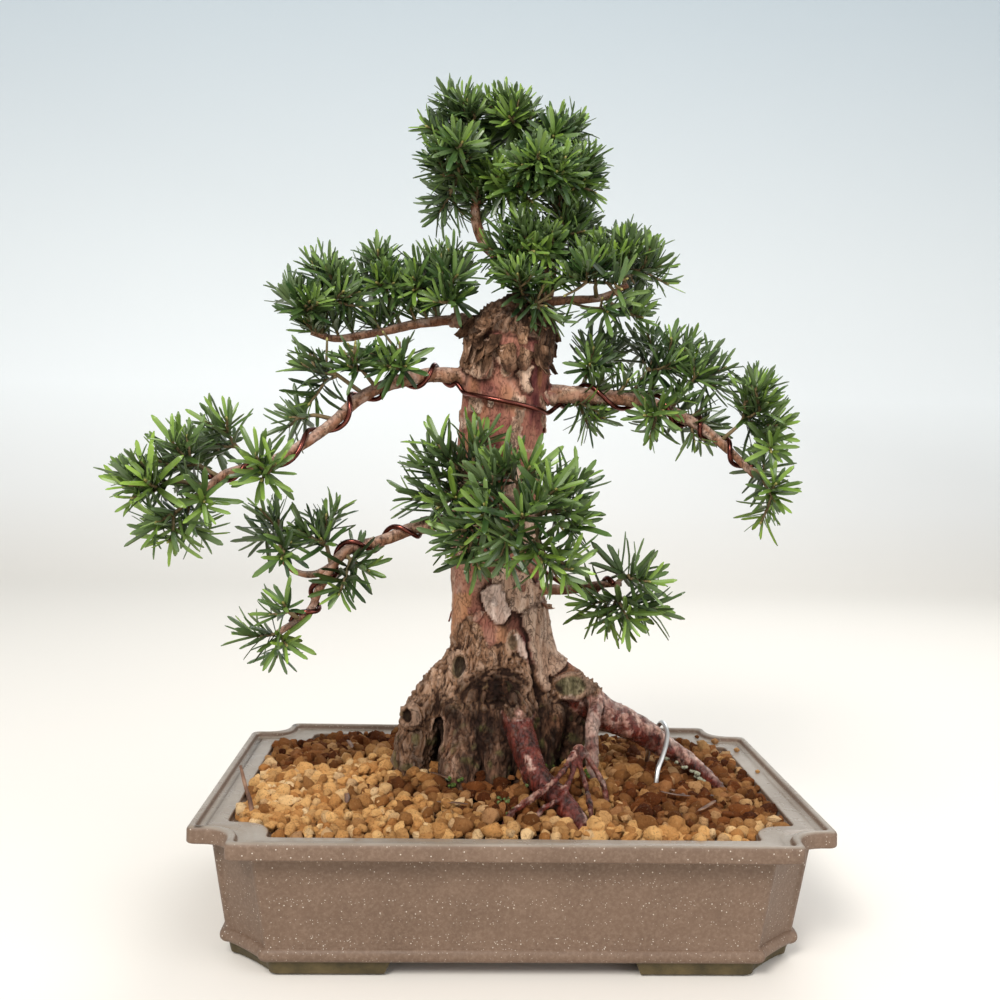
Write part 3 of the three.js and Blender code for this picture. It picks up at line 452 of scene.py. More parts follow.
class Curve:
    """A centripetal Catmull-Rom curve through points."""

    def __init__(self, points):
        self.points = [np.array(p, float) for p in points]

    def at(self, t):
        points = self.points
        place = (len(points) - 1) * min(max(t, 0), 1)
        i = min(int(place), len(points) - 2)
        w = place - i
        x1, x2 = points[i], points[i + 1]
        x0 = points[i - 1] if i > 0 else 2 * x1 - x2
        x3 = points[i + 2] if i + 2 < len(points) else 2 * x2 - x1
        d0, d1, d2 = (max(np.linalg.norm(b - a), 1e-6) ** 0.5 for a, b in ((x0, x1), (x1, x2), (x2, x3)))
        t1 = ((x1 - x0) / d0 - (x2 - x0) / (d0 + d1) + (x2 - x1) / d1) * d1
        t2 = ((x2 - x1) / d1 - (x3 - x1) / (d1 + d2) + (x3 - x2) / d2) * d1
        return x1 + t1 * w + (-3 * x1 + 3 * x2 - 2 * t1 - t2) * w**2 + (2 * x1 - 2 * x2 + t1 + t2) * w**3

    def tangent(self, t):
        return unit(self.at(min(t + 1e-3, 1)) - self.at(max(t - 1e-3, 0)))

    def sample(self, steps):
        return [self.at(i / steps) for i in range(steps + 1)]

    def length(self):
        points = self.sample(200)
        return sum(np.linalg.norm(b - a) for a, b in zip(points, points[1:]))


def tube_rings(points, radii, sides):
    """Rings of points round a line of points, without twist."""
    points = [np.asarray(p, float) for p in points]
    across = np.array((0.31, 0.17, 0.93))
    rings = []
    for i, point in enumerate(points):
        along = unit(points[min(i + 1, len(points) - 1)] - points[max(i - 1, 0)])
        across = unit(across - along * across.dot(along))
        other = np.cross(along, across)
        angles = np.arange(sides) * 2 * math.pi / sides
        rings.append(point + radii[i] * (np.outer(np.cos(angles), across) + np.outer(np.sin(angles), other)))
    return rings


def loft(rings):
    """Vertices and faces of a closed skin over rings of equal count."""
    count = len(rings[0])
    vertices = np.concatenate([*rings, [rings[0].mean(0), rings[-1].mean(0)]])
    first, last = len(vertices) - 2, len(vertices) - 1
    top = (len(rings) - 1) * count
    faces = []
    for i in range(count):
        j = (i + 1) % count
        faces.append((first, j, i))
        faces.append((last, top + i, top + j))
        for k in range(0, top, count):
            faces.append((k + i, k + j, k + count + j, k + count + i))
    return vertices, faces


def tube(points, radii, sides):
    return loft(tube_rings(points, radii, sides))


def joined(parts):
    """Several (vertices, faces) as one."""
    vertices, faces, start = [], [], 0
    for part_vertices, part_faces in parts:
        vertices.append(part_vertices)
        faces.extend(tuple(start + i for i in face) for face in part_faces)
        start += len(part_vertices)
    return np.concatenate(vertices), faces


def add_object(name, data):
    """A scene object that shows this mesh, camera or lamp."""
    thing = bpy.data.objects.new(name, data)
    bpy.context.scene.collection.objects.link(thing)
    return thing


def make_piece(name, vertices, faces, materials, body="root"):
    """A shaded object made from millimetre vertices, riding on the part's one body."""
    mesh = bpy.data.meshes.new(name)
    mesh.from_pydata(world(vertices).tolist(), [], faces)
    mesh.validate()
    for material in materials:
        mesh.materials.append(material)
    mesh.shade_smooth()
    piece = add_object(name, mesh)
    if body:
        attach(piece, body)
    return piece


def add_looks(piece, **looks):
    """For each name a value, or one for each vertex, which the materials read."""
    for name, values in looks.items():
        attribute = piece.data.attributes.new(name, "FLOAT", "POINT")
        attribute.data.foreach_set("value", np.full(len(piece.data.vertices), values, np.float32))


def repeated(faces, count, size):
    """The faces of many copies of a mesh that has size vertices."""
    return (faces[None] + (np.arange(count) * size)[:, None, None]).reshape(-1, faces.shape[1])


def vertex_values(piece, kind):
    flat = np.empty(len(piece.data.vertices) * 3)
    piece.data.vertices.foreach_get(kind, flat)
    return flat.reshape(-1, 3)


def places_of(piece):
    """The piece's vertices in the pot's frame, in millimetres."""
    return (vertex_values(piece, "co") - np.array(SHIFT)) / MM


def normals_of(piece):
    return vertex_values(piece, "normal")


def edge_ends(mesh):
    """The two vertices of each edge."""
    ends = np.empty(len(mesh.edges) * 2, np.int32)
    mesh.edges.foreach_get("vertices", ends)
    return ends.reshape(-1, 2)


def field(points, scale, seed=0):
    """Smooth noise at each point, with blobs of the size given for all axes or for each."""
    spots = np.asarray(points) / scale + seed * 17.3
    return np.array([noise.noise(spot) for spot in spots.tolist()])


def furrows(points, scale, seed=0):
    """Noise with sharp valleys, from -1 in them to 1."""
    return np.abs(field(points, scale, seed)) * 4 - 1


def swirl(points, scale, reach, seed):
    """How far noise moves each point, which bends the patterns laid over them."""
    return np.stack([field(points, scale, seed + k) for k in range(3)], 1) * reach


def apply_modifiers(piece):
    evaluated = piece.evaluated_get(bpy.context.evaluated_depsgraph_get())
    mesh = bpy.data.meshes.new_from_object(evaluated)
    piece.modifiers.clear()
    piece.data = mesh


# Materials


class Nodes:
    """Short ways to add shader nodes to one material."""

    def __init__(self, name):
        self.material = bpy.data.materials.new(name)
        self.material.use_nodes = True
        self.tree = self.material.node_tree
        self.shader = self.tree.nodes["Principled BSDF"]
        self.place = self.add("TexCoord").outputs["Object"]

    def put(self, socket, value):
        if hasattr(value, "is_output"):
            self.tree.links.new(value, socket)
        else:
            socket.default_value = value

    def set(self, **inputs):
        for name, value in inputs.items():
            self.put(self.shader.inputs[name.replace("_", " ")], value)

    def add(self, kind, **inputs):
        """A new node, with a value or a link for each input named."""
        node = self.tree.nodes.new("ShaderNode" + kind)
        for name, value in inputs.items():
            self.put(node.inputs[name], value)
        return node

    def noise(self, scale, detail=4, roughness=0.55, stretch=None, distortion=0.0):
        place = self.place
        if stretch:
            place = self.add("Mapping", Scale=stretch, Vector=place).outputs["Vector"]
        looks = {"Scale": scale, "Detail": detail, "Roughness": roughness, "Distortion": distortion}
        return self.add("TexNoise", Vector=place, **looks).outputs["Fac"]

    def cells(self, scale, output):
        return self.add("TexVoronoi", Scale=scale, Vector=self.place).outputs[output]

    def specks(self, scale, share, size):
        """Small round specks in some cells of a pattern."""
        near = self.ramp(self.cells(scale, "Distance"), [(size * 0.7, 1.0), (size * 1.3, 0.0)])
        chosen = self.ramp(self.cells(scale, "Color"), [(share, 0.0), (share + 0.06, 1.0)])
        return self.math("MULTIPLY", near, chosen)

    def value(self, name):
        """The values that a piece carries under this name."""
        node = self.add("Attribute")
        node.attribute_name = name
        return node.outputs["Fac"]

    def island(self):
        return self.add("NewGeometry").outputs["Random Per Island"]

    def ramp(self, source, stops):
        node = self.add("ValToRGB", Fac=source)
        ramp = node.color_ramp
        while len(ramp.elements) < len(stops):
            ramp.elements.new(0.5)
        for element, (position, colour) in zip(ramp.elements, stops):
            element.position = position
            element.color = (*colour, 1) if isinstance(colour, tuple) else (colour, colour, colour, 1)
        return node.outputs["Color"]

    def blend(self, factor, a, b):
        node = self.add("Mix")
        node.data_type = "RGBA"
        self.put(node.inputs[0], factor)
        for socket, value in ((node.inputs[6], a), (node.inputs[7], b)):
            self.put(socket, (*value, 1) if isinstance(value, tuple) else value)
        return node.outputs[2]

    def math(self, kind, a, b):
        node = self.add("Math")
        node.operation = kind
        self.put(node.inputs[0], a)
        self.put(node.inputs[1], b)
        return node.outputs[0]

    def bump(self, height, distance, strength):
        node = self.add("Bump", Height=height, Distance=distance * MM, Strength=strength)
        self.set(Normal=node.outputs["Normal"])


def stoneware():
    n = Nodes("stoneware")
    clouds = n.noise(18, 5, 0.6)
    clay = [(0.3, (0.125, 0.077, 0.05)), (0.55, (0.155, 0.097, 0.064)), (0.75, (0.185, 0.12, 0.081))]
    body = n.ramp(clouds, clay)
    grain = n.noise(520, 4, 0.7)
    body = n.blend(n.ramp(grain, [(0.45, 0.0), (0.68, 0.25)]), body, (0.36, 0.26, 0.19))
    body = n.blend(n.ramp(n.noise(260, 3, 0.6), [(0.28, 0.35), (0.42, 0.0)]), body, (0.13, 0.08, 0.055))
    specks = n.math("MAXIMUM", n.specks(330, 0.62, 0.12), n.specks(640, 0.55, 0.15))
    body = n.blend(n.math("MULTIPLY", specks, 0.8), body, (0.7, 0.62, 0.52))
    rim = n.ramp(clouds, [(0.35, (0.23, 0.18, 0.135)), (0.7, (0.33, 0.28, 0.23))])
    body = n.blend(n.value("rim"), body, rim)
    body = n.blend(n.value("stain"), body, (0.055, 0.035, 0.022))
    foot = n.ramp(n.noise(60, 5, 0.65), [(0.35, (0.038, 0.028, 0.01)), (0.7, (0.11, 0.08, 0.032))])
    body = n.blend(n.value("foot"), body, foot)
    rough = n.ramp(clouds, [(0.3, 0.48), (0.7, 0.62)])
    sheen = n.ramp(n.noise(34, 4, 0.6), [(0.35, 0.2), (0.65, 0.42)])
    n.set(Base_Color=body, Roughness=n.blend(n.value("rim"), rough, sheen), Specular_IOR_Level=0.35)
    n.bump(n.math("ADD", grain, n.math("MULTIPLY", specks, 0.5)), 0.3, 0.6)
    return n.material


def needle_green():
    n = Nodes("needles")
    shade = n.island()
    greens = [(0.0, (0.012, 0.034, 0.009)), (0.5, (0.034, 0.082, 0.018)), (1.0, (0.1, 0.17, 0.045))]
    top = n.ramp(shade, greens)
    top = n.blend(n.value("young"), top, (0.24, 0.38, 0.045))
    under = n.ramp(shade, [(0.0, (0.06, 0.1, 0.035)), (1.0, (0.12, 0.18, 0.07))])
    colour = n.blend(n.value("under"), top, under)
    colour = n.blend(n.ramp(n.noise(130, 3, 0.6), [(0.4, 0.0), (0.75, 0.35)]), colour, (0.12, 0.17, 0.03))
    # Painted shade: needles deep in a spray are darkened, standing in for the shadow inside the foliage.
    colour = n.blend(n.value("deep"), colour, (0.007, 0.018, 0.005))
    n.set(Base_Color=colour, Roughness=n.ramp(shade, [(0.0, 0.3), (1.0, 0.44)]), Specular_IOR_Level=0.5)
    n.bump(n.noise(900, 2, 0.5), 0.08, 0.4)
    return n.material


def twig_bark():
    n = Nodes("twig_bark")
    patches = n.noise(140, 4, 0.6, stretch=(1, 1, 0.6))
    old = n.ramp(patches, [(0.3, (0.06, 0.025, 0.014)), (0.5, (0.16, 0.075, 0.04)), (0.7, (0.3, 0.18, 0.11))])
    colour = n.blend(n.value("green"), old, (0.13, 0.15, 0.04))
    n.set(Base_Color=colour, Roughness=0.7)
    n.bump(n.noise(700, 4, 0.6), 0.4, 0.7)
    return n.material


def bud_scale():
    n = Nodes("buds")
    colour = n.ramp(n.noise(900, 2), [(0.35, (0.2, 0.15, 0.04)), (0.65, (0.36, 0.34, 0.1))])
    n.set(Base_Color=colour, Roughness=0.5)
    return n.material


# The bark's colours, as stops of a ramp.
RED_BARK = [(0.34, (0.12, 0.032, 0.032)), (0.46, (0.24, 0.085, 0.062)), (0.58, (0.36, 0.16, 0.105)),
            (0.7, (0.46, 0.27, 0.2))]
TAN_PLATE = [(0.28, (0.2, 0.1, 0.06)), (0.48, (0.45, 0.285, 0.195)), (0.7, (0.74, 0.56, 0.44))]
ROUGH_BARK = [(0.3, (0.06, 0.028, 0.015)), (0.5, (0.23, 0.12, 0.066)), (0.72, (0.5, 0.32, 0.21))]
ORANGE_BARK = [(0.3, (0.3, 0.12, 0.055)), (0.7, (0.47, 0.24, 0.13))]
WET_ROOT = [(0.36, (0.012, 0.004, 0.003)), (0.46, (0.07, 0.013, 0.008)), (0.6, (0.16, 0.028, 0.018)),
            (0.74, (0.32, 0.1, 0.065))]
PINK_FLAKE = [(0.32, (0.28, 0.1, 0.065)), (0.5, (0.55, 0.3, 0.225)), (0.7, (0.86, 0.64, 0.54))]
# Colours of the dark look, which is partly the bark's own dark colour and partly painted shade.
SHADE_AND_DARK_BARK = [(0.42, (0.005, 0.002, 0.001)), (0.54, (0.03, 0.012, 0.006)), (0.7, (0.13, 0.055, 0.028))]
MOSSY_BARK = [(0.35, (0.02, 0.022, 0.008)), (0.7, (0.14, 0.13, 0.045))]
CUT_FACE = [(0.36, (0.03, 0.024, 0.012)), (0.5, (0.15, 0.125, 0.065)), (0.7, (0.42, 0.35, 0.21))]
# Colours of the pale look: pale plates and flakes, and painted highlights on upper sides and inside the eye.
PALE_AND_LIT_BARK = [(0.35, (0.5, 0.34, 0.27)), (0.65, (0.86, 0.68, 0.58))]


def wood_bark(name, gloss):
    n = Nodes(name)
    streaks = n.noise(170, 6, 0.65, stretch=(1, 1, 0.22), distortion=0.4)
    fine = n.noise(560, 5, 0.68, stretch=(1, 1, 0.35))
    patches = n.noise(46, 4, 0.6, stretch=(1, 1, 0.5))
    blotches = n.noise(170, 6, 0.7, stretch=(1, 1, 0.6), distortion=0.4)
    scaly = n.noise(230, 5, 0.66, stretch=(1, 1, 0.5), distortion=0.8)
    colour = n.blend(n.value("plate"), n.ramp(patches, RED_BARK), n.ramp(streaks, TAN_PLATE))
    colour = n.blend(n.value("orange"), colour, n.ramp(patches, ORANGE_BARK))
    colour = n.blend(n.value("rough"), colour, n.ramp(streaks, ROUGH_BARK))
    # Painted highlight: where the bark stands out, its colour is lightened.
    colour = n.blend(n.ramp(n.value("raised"), [(0.56, 0.0), (0.85, 0.3)]), colour, (0.56, 0.4, 0.3))
    cracks = n.ramp(scaly, [(0.472, 0.0), (0.489, 1.0), (0.495, 1.0), (0.512, 0.0)])
    old = n.math("MAXIMUM", n.value("rough"), n.value("plate"))
    colour = n.blend(n.math("MULTIPLY", cracks, n.math("MULTIPLY", old, 0.75)), colour, (0.03, 0.013, 0.008))
    colour = n.blend(n.value("wet_root"), colour, n.ramp(blotches, WET_ROOT))
    peeling = n.ramp(n.noise(95, 5, 0.6, distortion=0.9), [(0.45, 0.0), (0.52, 1.0)])
    colour = n.blend(n.math("MULTIPLY", n.value("pink"), peeling), colour, n.ramp(streaks, PINK_FLAKE))
    layers = (
        ("dark", streaks, SHADE_AND_DARK_BARK),
        ("moss", fine, MOSSY_BARK),
        ("face", streaks, CUT_FACE),
        ("pale", streaks, PALE_AND_LIT_BARK),
    )
    for look, pattern, stops in layers:
        colour = n.blend(n.value(look), colour, n.ramp(pattern, stops))
    # Painted shade: where the bark sinks in, its colour is darkened nearly to black.
    colour = n.blend(n.ramp(n.value("raised"), [(0.22, 0.85), (0.46, 0.0)]), colour, (0.02, 0.009, 0.006))
    shine = n.ramp(fine, [(0.3, 0.16), (0.7, 0.4)])
    dull = n.ramp(fine, [(0.3, 0.66), (0.7, 0.9)])
    n.set(Base_Color=colour, Roughness=n.blend(n.value("wet_root"), dull, shine), Specular_IOR_Level=gloss)
    relief = n.math("ADD", streaks, n.math("MULTIPLY", fine, 0.7))
    n.bump(n.math("SUBTRACT", relief, n.math("MULTIPLY", cracks, 0.6)), 1.2, 0.9)
    return n.material


def moss_green():
    n = Nodes("moss")
    tufts = n.noise(900, 4, 0.7)
    green = n.ramp(tufts, [(0.35, (0.02, 0.035, 0.006)), (0.65, (0.13, 0.2, 0.03))])
    grey = n.ramp(tufts, [(0.35, (0.2, 0.2, 0.13)), (0.65, (0.5, 0.5, 0.37))])
    n.set(Base_Color=n.blend(n.value("grey"), green, grey), Roughness=0.95, Specular_IOR_Level=0.1)
    n.bump(tufts, 1.0, 0.9)
    return n.material


def clay_granules():
    n = Nodes("granules")
    tone = n.island()
    dry = n.ramp(tone, [(0.0, (0.5, 0.21, 0.06)), (0.35, (0.72, 0.36, 0.12)), (0.75, (0.9, 0.52, 0.2)),
                        (1.0, (0.98, 0.69, 0.37))])
    wet = n.ramp(tone, [(0.0, (0.055, 0.013, 0.003)), (0.45, (0.125, 0.034, 0.008)),
                        (0.8, (0.23, 0.075, 0.02)), (1.0, (0.38, 0.165, 0.06))])
    colour = n.blend(n.value("wet"), dry, wet)
    pores = n.noise(620, 6, 0.72)
    colour = n.blend(n.ramp(pores, [(0.32, 0.7), (0.48, 0.0)]), colour, (0.16, 0.055, 0.018))
    colour = n.blend(n.ramp(pores, [(0.58, 0.0), (0.75, 0.4)]), colour, (0.82, 0.56, 0.3))
    n.set(Base_Color=colour, Roughness=0.95, Specular_IOR_Level=0.1)
    n.bump(n.math("ADD", pores, n.noise(1500, 3, 0.6)), 1.7, 1.0)
    return n.material


def plain(name, colour, roughness, grain):
    n = Nodes(name)
    n.set(Base_Color=(*colour, 1), Roughness=roughness)
    n.bump(n.noise(600, 3), grain, 0.5)
    return n.material


def wire_metal(name, low, high, roughness):
    n = Nodes(name)
    n.set(Base_Color=n.ramp(n.noise(90, 3), [(0.35, low), (0.65, high)]), Metallic=1.0, Roughness=roughness)
    n.bump(n.noise(500, 2), 0.05, 0.3)
    return n.material


# Camera, light and floor


def make_camera():
    """The camera of the photograph."""
    turn = (
        Matrix.Rotation(-CAMERA_YAW, 4, "Z")
        @ Matrix.Rotation(math.pi / 2 - CAMERA_PITCH, 4, "X")
        @ Matrix.Rotation(-CAMERA_ROLL, 4, "Z")
    )
    camera = add_object("camera", bpy.data.cameras.new("camera"))
    camera.data.sensor_width = SENSOR
    camera.data.lens = SENSOR * FOCAL_PIXELS / PHOTO_SIDE
    camera.data.clip_start = CLIP_START
    camera.matrix_world = Matrix.Translation(world(CAMERA_AT)) @ turn
    bpy.context.scene.camera = camera


def area_light(name, at, aim, size, power, colour):
    light = bpy.data.lights.new(name, "AREA")
    light.shape = "SQUARE"
    light.size = size
    light.energy = power
    light.color = colour
    lamp = add_object(name, light)
    lamp.location = at
    lamp.rotation_euler = (Vector(aim) - Vector(at)).to_track_quat("-Z", "Y").to_euler()


def backdrop_with_painted_light():
    """Cream at the floor, turning to a pale cool blue high up on the wall; its darkening above the bend is
    painted falloff of the light.
    """
    n = Nodes("backdrop")
    height = n.math("MULTIPLY", n.add("SeparateXYZ", Vector=n.place).outputs["Z"], 1 / WALL_TALL)
    tone = n.ramp(height, [(0.0, (0.8, 0.755, 0.69)), (0.04, (0.88, 0.87, 0.84)), (0.11, (0.97, 1.0, 1.0)),
                           (0.42, (0.62, 0.71, 0.77))])
    n.set(Base_Color=tone, Roughness=0.9)
    return n.material


def make_studio():
    """A pale floor that bends up into a wall, a soft even sky and three large lamps."""
    profile = [(-WALL_HALF, 0.0), (WALL_AT, 0.0)]
    for i in range(1, BEND_STEPS + 1):
        angle = i / BEND_STEPS * math.pi / 2
        profile.append((WALL_AT + math.sin(angle) * WALL_BEND, WALL_BEND - math.cos(angle) * WALL_BEND))
    profile.append((WALL_AT + WALL_BEND, WALL_TALL))
    vertices = [(x, y, z - FLOOR_CLEARANCE) for y, z in profile for x in (-WALL_HALF, WALL_HALF)]
    faces = [(2 * i, 2 * i + 1, 2 * i + 3, 2 * i + 2) for i in range(len(profile) - 1)]
    mesh = bpy.data.meshes.new("floor")
    mesh.from_pydata(vertices, [], faces)
    mesh.shade_smooth()
    mesh.materials.append(backdrop_with_painted_light())
    floor = add_object("floor", mesh)
    sky = bpy.data.worlds.new("studio")
    sky.use_nodes = True
    glow = sky.node_tree.nodes["Background"].inputs
    glow["Color"].default_value = SKY_COLOUR
    glow["Strength"].default_value = SKY_STRENGTH
    bpy.context.scene.world = sky
    for name, lamp in LAMPS.items():
        area_light(name, *lamp)


# Pot


def notch_curve(hollow):
    """A cut corner in units of its size, from the short side to the long one: straight at 0, hollow at 1."""
    curve = []
    for k in range(4):
        angle = k / 4 * math.pi / 2
        curve.append((NOTCH_ROUND * (1 - math.cos(angle)), 1 + NOTCH_ROUND * (1 - math.sin(angle))))
    for i in range(NOTCH_STEPS + 1):
        s = i / NOTCH_STEPS
        u = mix(s, math.sin(s * math.pi / 2) ** NOTCH_POWER, hollow)
        v = mix(1 - s, math.cos(s * math.pi / 2) ** NOTCH_POWER, hollow)
        curve.append((mix(NOTCH_ROUND, 1, u), mix(NOTCH_ROUND, 1, v)))
    curve.extend((v, u) for u, v in reversed(curve[:4]))
    return curve


def notched_ring(inset, z, hollow=1.0):
    """The pot's plan at one height: a rectangle with its four corners cut."""
    half_x = POT_LENGTH / 2 - inset
    half_y = POT_DEPTH / 2 - inset
    curve = notch_curve(hollow)
    ring = []
    for sx, sy in ((-1, -1), (1, -1), (1, 1), (-1, 1)):
        corner = curve if sx == sy else curve[::-1]
        for u, v in corner:
            ring.append((sx * (half_x - u * CORNER_NOTCH), sy * (half_y - v * CORNER_NOTCH), z))
    return np.array(ring)


def body_ring(inset, z):
    return notched_ring(inset, z, BODY_HOLLOW)


def arc(centre, reach, angles, steps, ring):
    """Rings whose profile follows an arc; centre and reach are (inset, z)."""
    rings = []
    for i in range(steps + 1):
        angle = math.radians(mix(*angles, i / steps))
        rings.append(ring(centre[0] + math.cos(angle) * reach[0], centre[1] + math.sin(angle) * reach[1]))
    return rings


def pot_profile():
    belt = (BODY_FOOT_INSET, FOOT_HEIGHT + BELT_HEIGHT / 2)
    bead = (BEAD_WIDTH / 2, RIM_FLAT)
    edge = (RIM_WIDTH - EDGE_ROUND, RIM_FLAT - EDGE_ROUND)
    return [
        body_ring(BODY_FOOT_INSET + 5, FOOT_HEIGHT),
        *arc(belt, (-BELT_BULGE, BELT_HEIGHT / 2), (-80, 80), 10, body_ring),
        body_ring(BODY_FOOT_INSET - 0.4, FOOT_HEIGHT + BELT_HEIGHT + 1),
        body_ring(mix(BODY_FOOT_INSET, RIM_OVERHANG, 0.5), mix(FOOT_HEIGHT + BELT_HEIGHT, RIM_BASE, 0.5)),
        body_ring(RIM_OVERHANG + 0.8, RIM_BASE - 2.5),
        notched_ring(RIM_OVERHANG - 0.6, RIM_BASE - 0.2, 0.5),
        notched_ring(RIM_OVERHANG - 3, RIM_BASE),
        *arc((EDGE_ROUND, RIM_BASE + EDGE_ROUND), (-EDGE_ROUND, EDGE_ROUND), (-90, 0), 4, notched_ring),
        *arc(bead, (-BEAD_WIDTH / 2, BEAD_RISE), (12, 90), 8, notched_ring),
        *arc(bead, (BEAD_WIDTH / 2, BEAD_RISE), (78, 8), 6, notched_ring),
        notched_ring(BEAD_WIDTH + 0.7, RIM_FLAT - 0.5),
        notched_ring(BEAD_WIDTH + 4, RIM_FLAT - 0.5),
        notched_ring(BEAD_WIDTH + 5.2, RIM_FLAT + 0.2),
        notched_ring(RIM_WIDTH - 2, RIM_FLAT),
        *arc(edge, (EDGE_ROUND, EDGE_ROUND), (75, 0), 4, notched_ring),
        notched_ring(RIM_WIDTH, POT_HEIGHT - RIM_INNER_EDGE),
        notched_ring(RIM_WIDTH + 4, POT_HEIGHT - RIM_INNER_EDGE - 3),
        body_ring(BODY_FOOT_INSET + WALL, FLOOR_TOP + 4),
        body_ring(BODY_FOOT_INSET + WALL + 4, FLOOR_TOP),
    ]


def foot_contour(sx, sy, inset, reach):
    """A corner foot's plan on one side of its wall, from the pot's short side to its long one."""
    half_x = POT_LENGTH / 2 - inset
    half_y = POT_DEPTH / 2 - inset
    x_end = POT_LENGTH / 2 - 2 * BODY_FOOT_INSET - FOOT_LENGTH - reach
    y_end = POT_DEPTH / 2 - BODY_FOOT_INSET - FOOT_WIDTH - reach
    corner = [(half_x - u * CORNER_NOTCH, half_y - v * CORNER_NOTCH) for u, v in notch_curve(BODY_HOLLOW)]
    points = [(corner[0][0], y_end), *corner, (x_end, corner[-1][1])]
    return [np.array((sx * x, sy * y)) for x, y in points]


def corner_foot(sx, sy):
    """One L-shaped foot under a corner, narrower at the ground."""
    outer = BODY_FOOT_INSET + FOOT_INSET
    inner = BODY_FOOT_INSET + FOOT_THICKNESS
    sides = zip(
        foot_contour(sx, sy, outer, 0),
        foot_contour(sx, sy, outer - 2, FOOT_HEIGHT / 2),
        foot_contour(sx, sy, inner - 3, FOOT_HEIGHT / 2),
        foot_contour(sx, sy, inner, 0),
    )
    rings = []
    for low_out, high_out, high_in, low_in in sides:
        rings.append(np.array([
            (*mix(low_out, low_in, 0.08), 0),
            (*mix(low_out, high_out, 0.15), 1.3),
            (*high_out, FOOT_HEIGHT + 1.2),
            (*high_in, FOOT_HEIGHT + 1.2),
            (*mix(low_in, high_in, 0.15), 1.3),
            (*mix(low_in, low_out, 0.08), 0),
        ]))
    return loft(rings)


def rim_dirt(places, inset):
    """How dirty the rim's groove is: most along the left side and its corners."""
    in_groove = smooth(BEAD_WIDTH - 0.6, BEAD_WIDTH + 0.6, inset)
    in_groove *= 1 - smooth(BEAD_WIDTH + 4, BEAD_WIDTH + 6, inset)
    left = smooth(60, -180, places[:, 0]) * 0.7 + 0.25
    return in_groove * left * smooth(-0.35, 0.3, field(places, 9, 4))


def drill_holes(pot, material):
    """Cuts the two drain holes and the two tie holes through the pot's floor."""
    holes = []
    for side in (-1, 1):
        holes.append((side * DRAIN_SPACING / 2, 0, DRAIN_RADIUS))
        holes.append((TIE_HOLE["x"], side * TIE_HOLE["y"], TIE_HOLE_RADIUS))
    cutters = [tube([(x, y, FOOT_HEIGHT - 3), (x, y, FLOOR_TOP + 3)], (r, r), 32) for x, y, r in holes]
    cutter = make_piece("holes", *joined(cutters), [material], body=None)
    drill = pot.modifiers.new("holes", "BOOLEAN")
    drill.object = cutter
    drill.operation = "DIFFERENCE"
    drill.solver = "EXACT"
    apply_modifiers(pot)
    bpy.data.objects.remove(cutter)


def make_pot(material):
    """The pot's body with its rim, and the four corner feet that are fired onto it."""
    pot = make_piece("pot_body", *loft(pot_profile()), [material])
    drill_holes(pot, material)
    fine = pot.modifiers.new("fine", "SUBSURF")
    fine.subdivision_type = "SIMPLE"
    fine.levels = 1
    apply_modifiers(pot)
    places = places_of(pot)
    inset = np.minimum(POT_LENGTH / 2 - abs(places[:, 0]), POT_DEPTH / 2 - abs(places[:, 1]))
    on_top = smooth(0.5, 0.9, normals_of(pot)[:, 2]) * smooth(RIM_FLAT - 3, RIM_FLAT - 1, places[:, 2])
    add_looks(pot, rim=on_top, stain=on_top * rim_dirt(places, inset))
    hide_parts("pot")
    corners = [corner_foot(sx, sy) for sx in (-1, 1) for sy in (-1, 1)]
    feet = make_piece("pot_feet", *joined(corners), [material])
    add_looks(feet, foot=1.0)
    for piece in (pot, feet):
        piece.data.set_sharp_from_angle(angle=POT_SHARP)


# Wood


def trunk_ring(section, k, sides):
    x, y, z, wide, deep = section
    ring = []
    for s in range(sides):
        angle = s / sides * 2 * math.pi
        bark = 1 + sum(depth * math.sin(waves * angle + k * turn) for waves, depth, turn in FLUTES)
        ring.append((x + math.cos(angle) * wide * bark, y + math.sin(angle) * deep * bark, z))
    return np.array(ring)


def trunk_body(sides=72, steps=4):
    curve = Curve([np.array(section) for section in TRUNK])
    count = (len(TRUNK) - 1) * steps
    return loft([trunk_ring(curve.at(i / count), i / steps, sides) for i in range(count + 1)])


def limb_line(route, radii, steps):
    curve = Curve(route)
    shares = [i / steps for i in range(steps + 1)]
    return [curve.at(t) for t in shares], [mix(radii[0], radii[1], t**LIMB_TAPER) for t in shares]


def knobby_tube(route, radii, steps, sides, lump):
    """A tube whose radius wavers, as a grown branch's does."""
    points, sizes = limb_line(route, radii, steps)
    rings = []
    for ring, centre in zip(tube_rings(points, sizes, sides), points):
        moved = []
        for p in ring:
            swell = noise.noise(Vector(p) / 9) * lump + noise.noise(Vector(p) / 3.2) * lump * 0.5
            moved.append(p + (p - centre) * swell)
        rings.append(np.array(moved))
    return loft(rings)


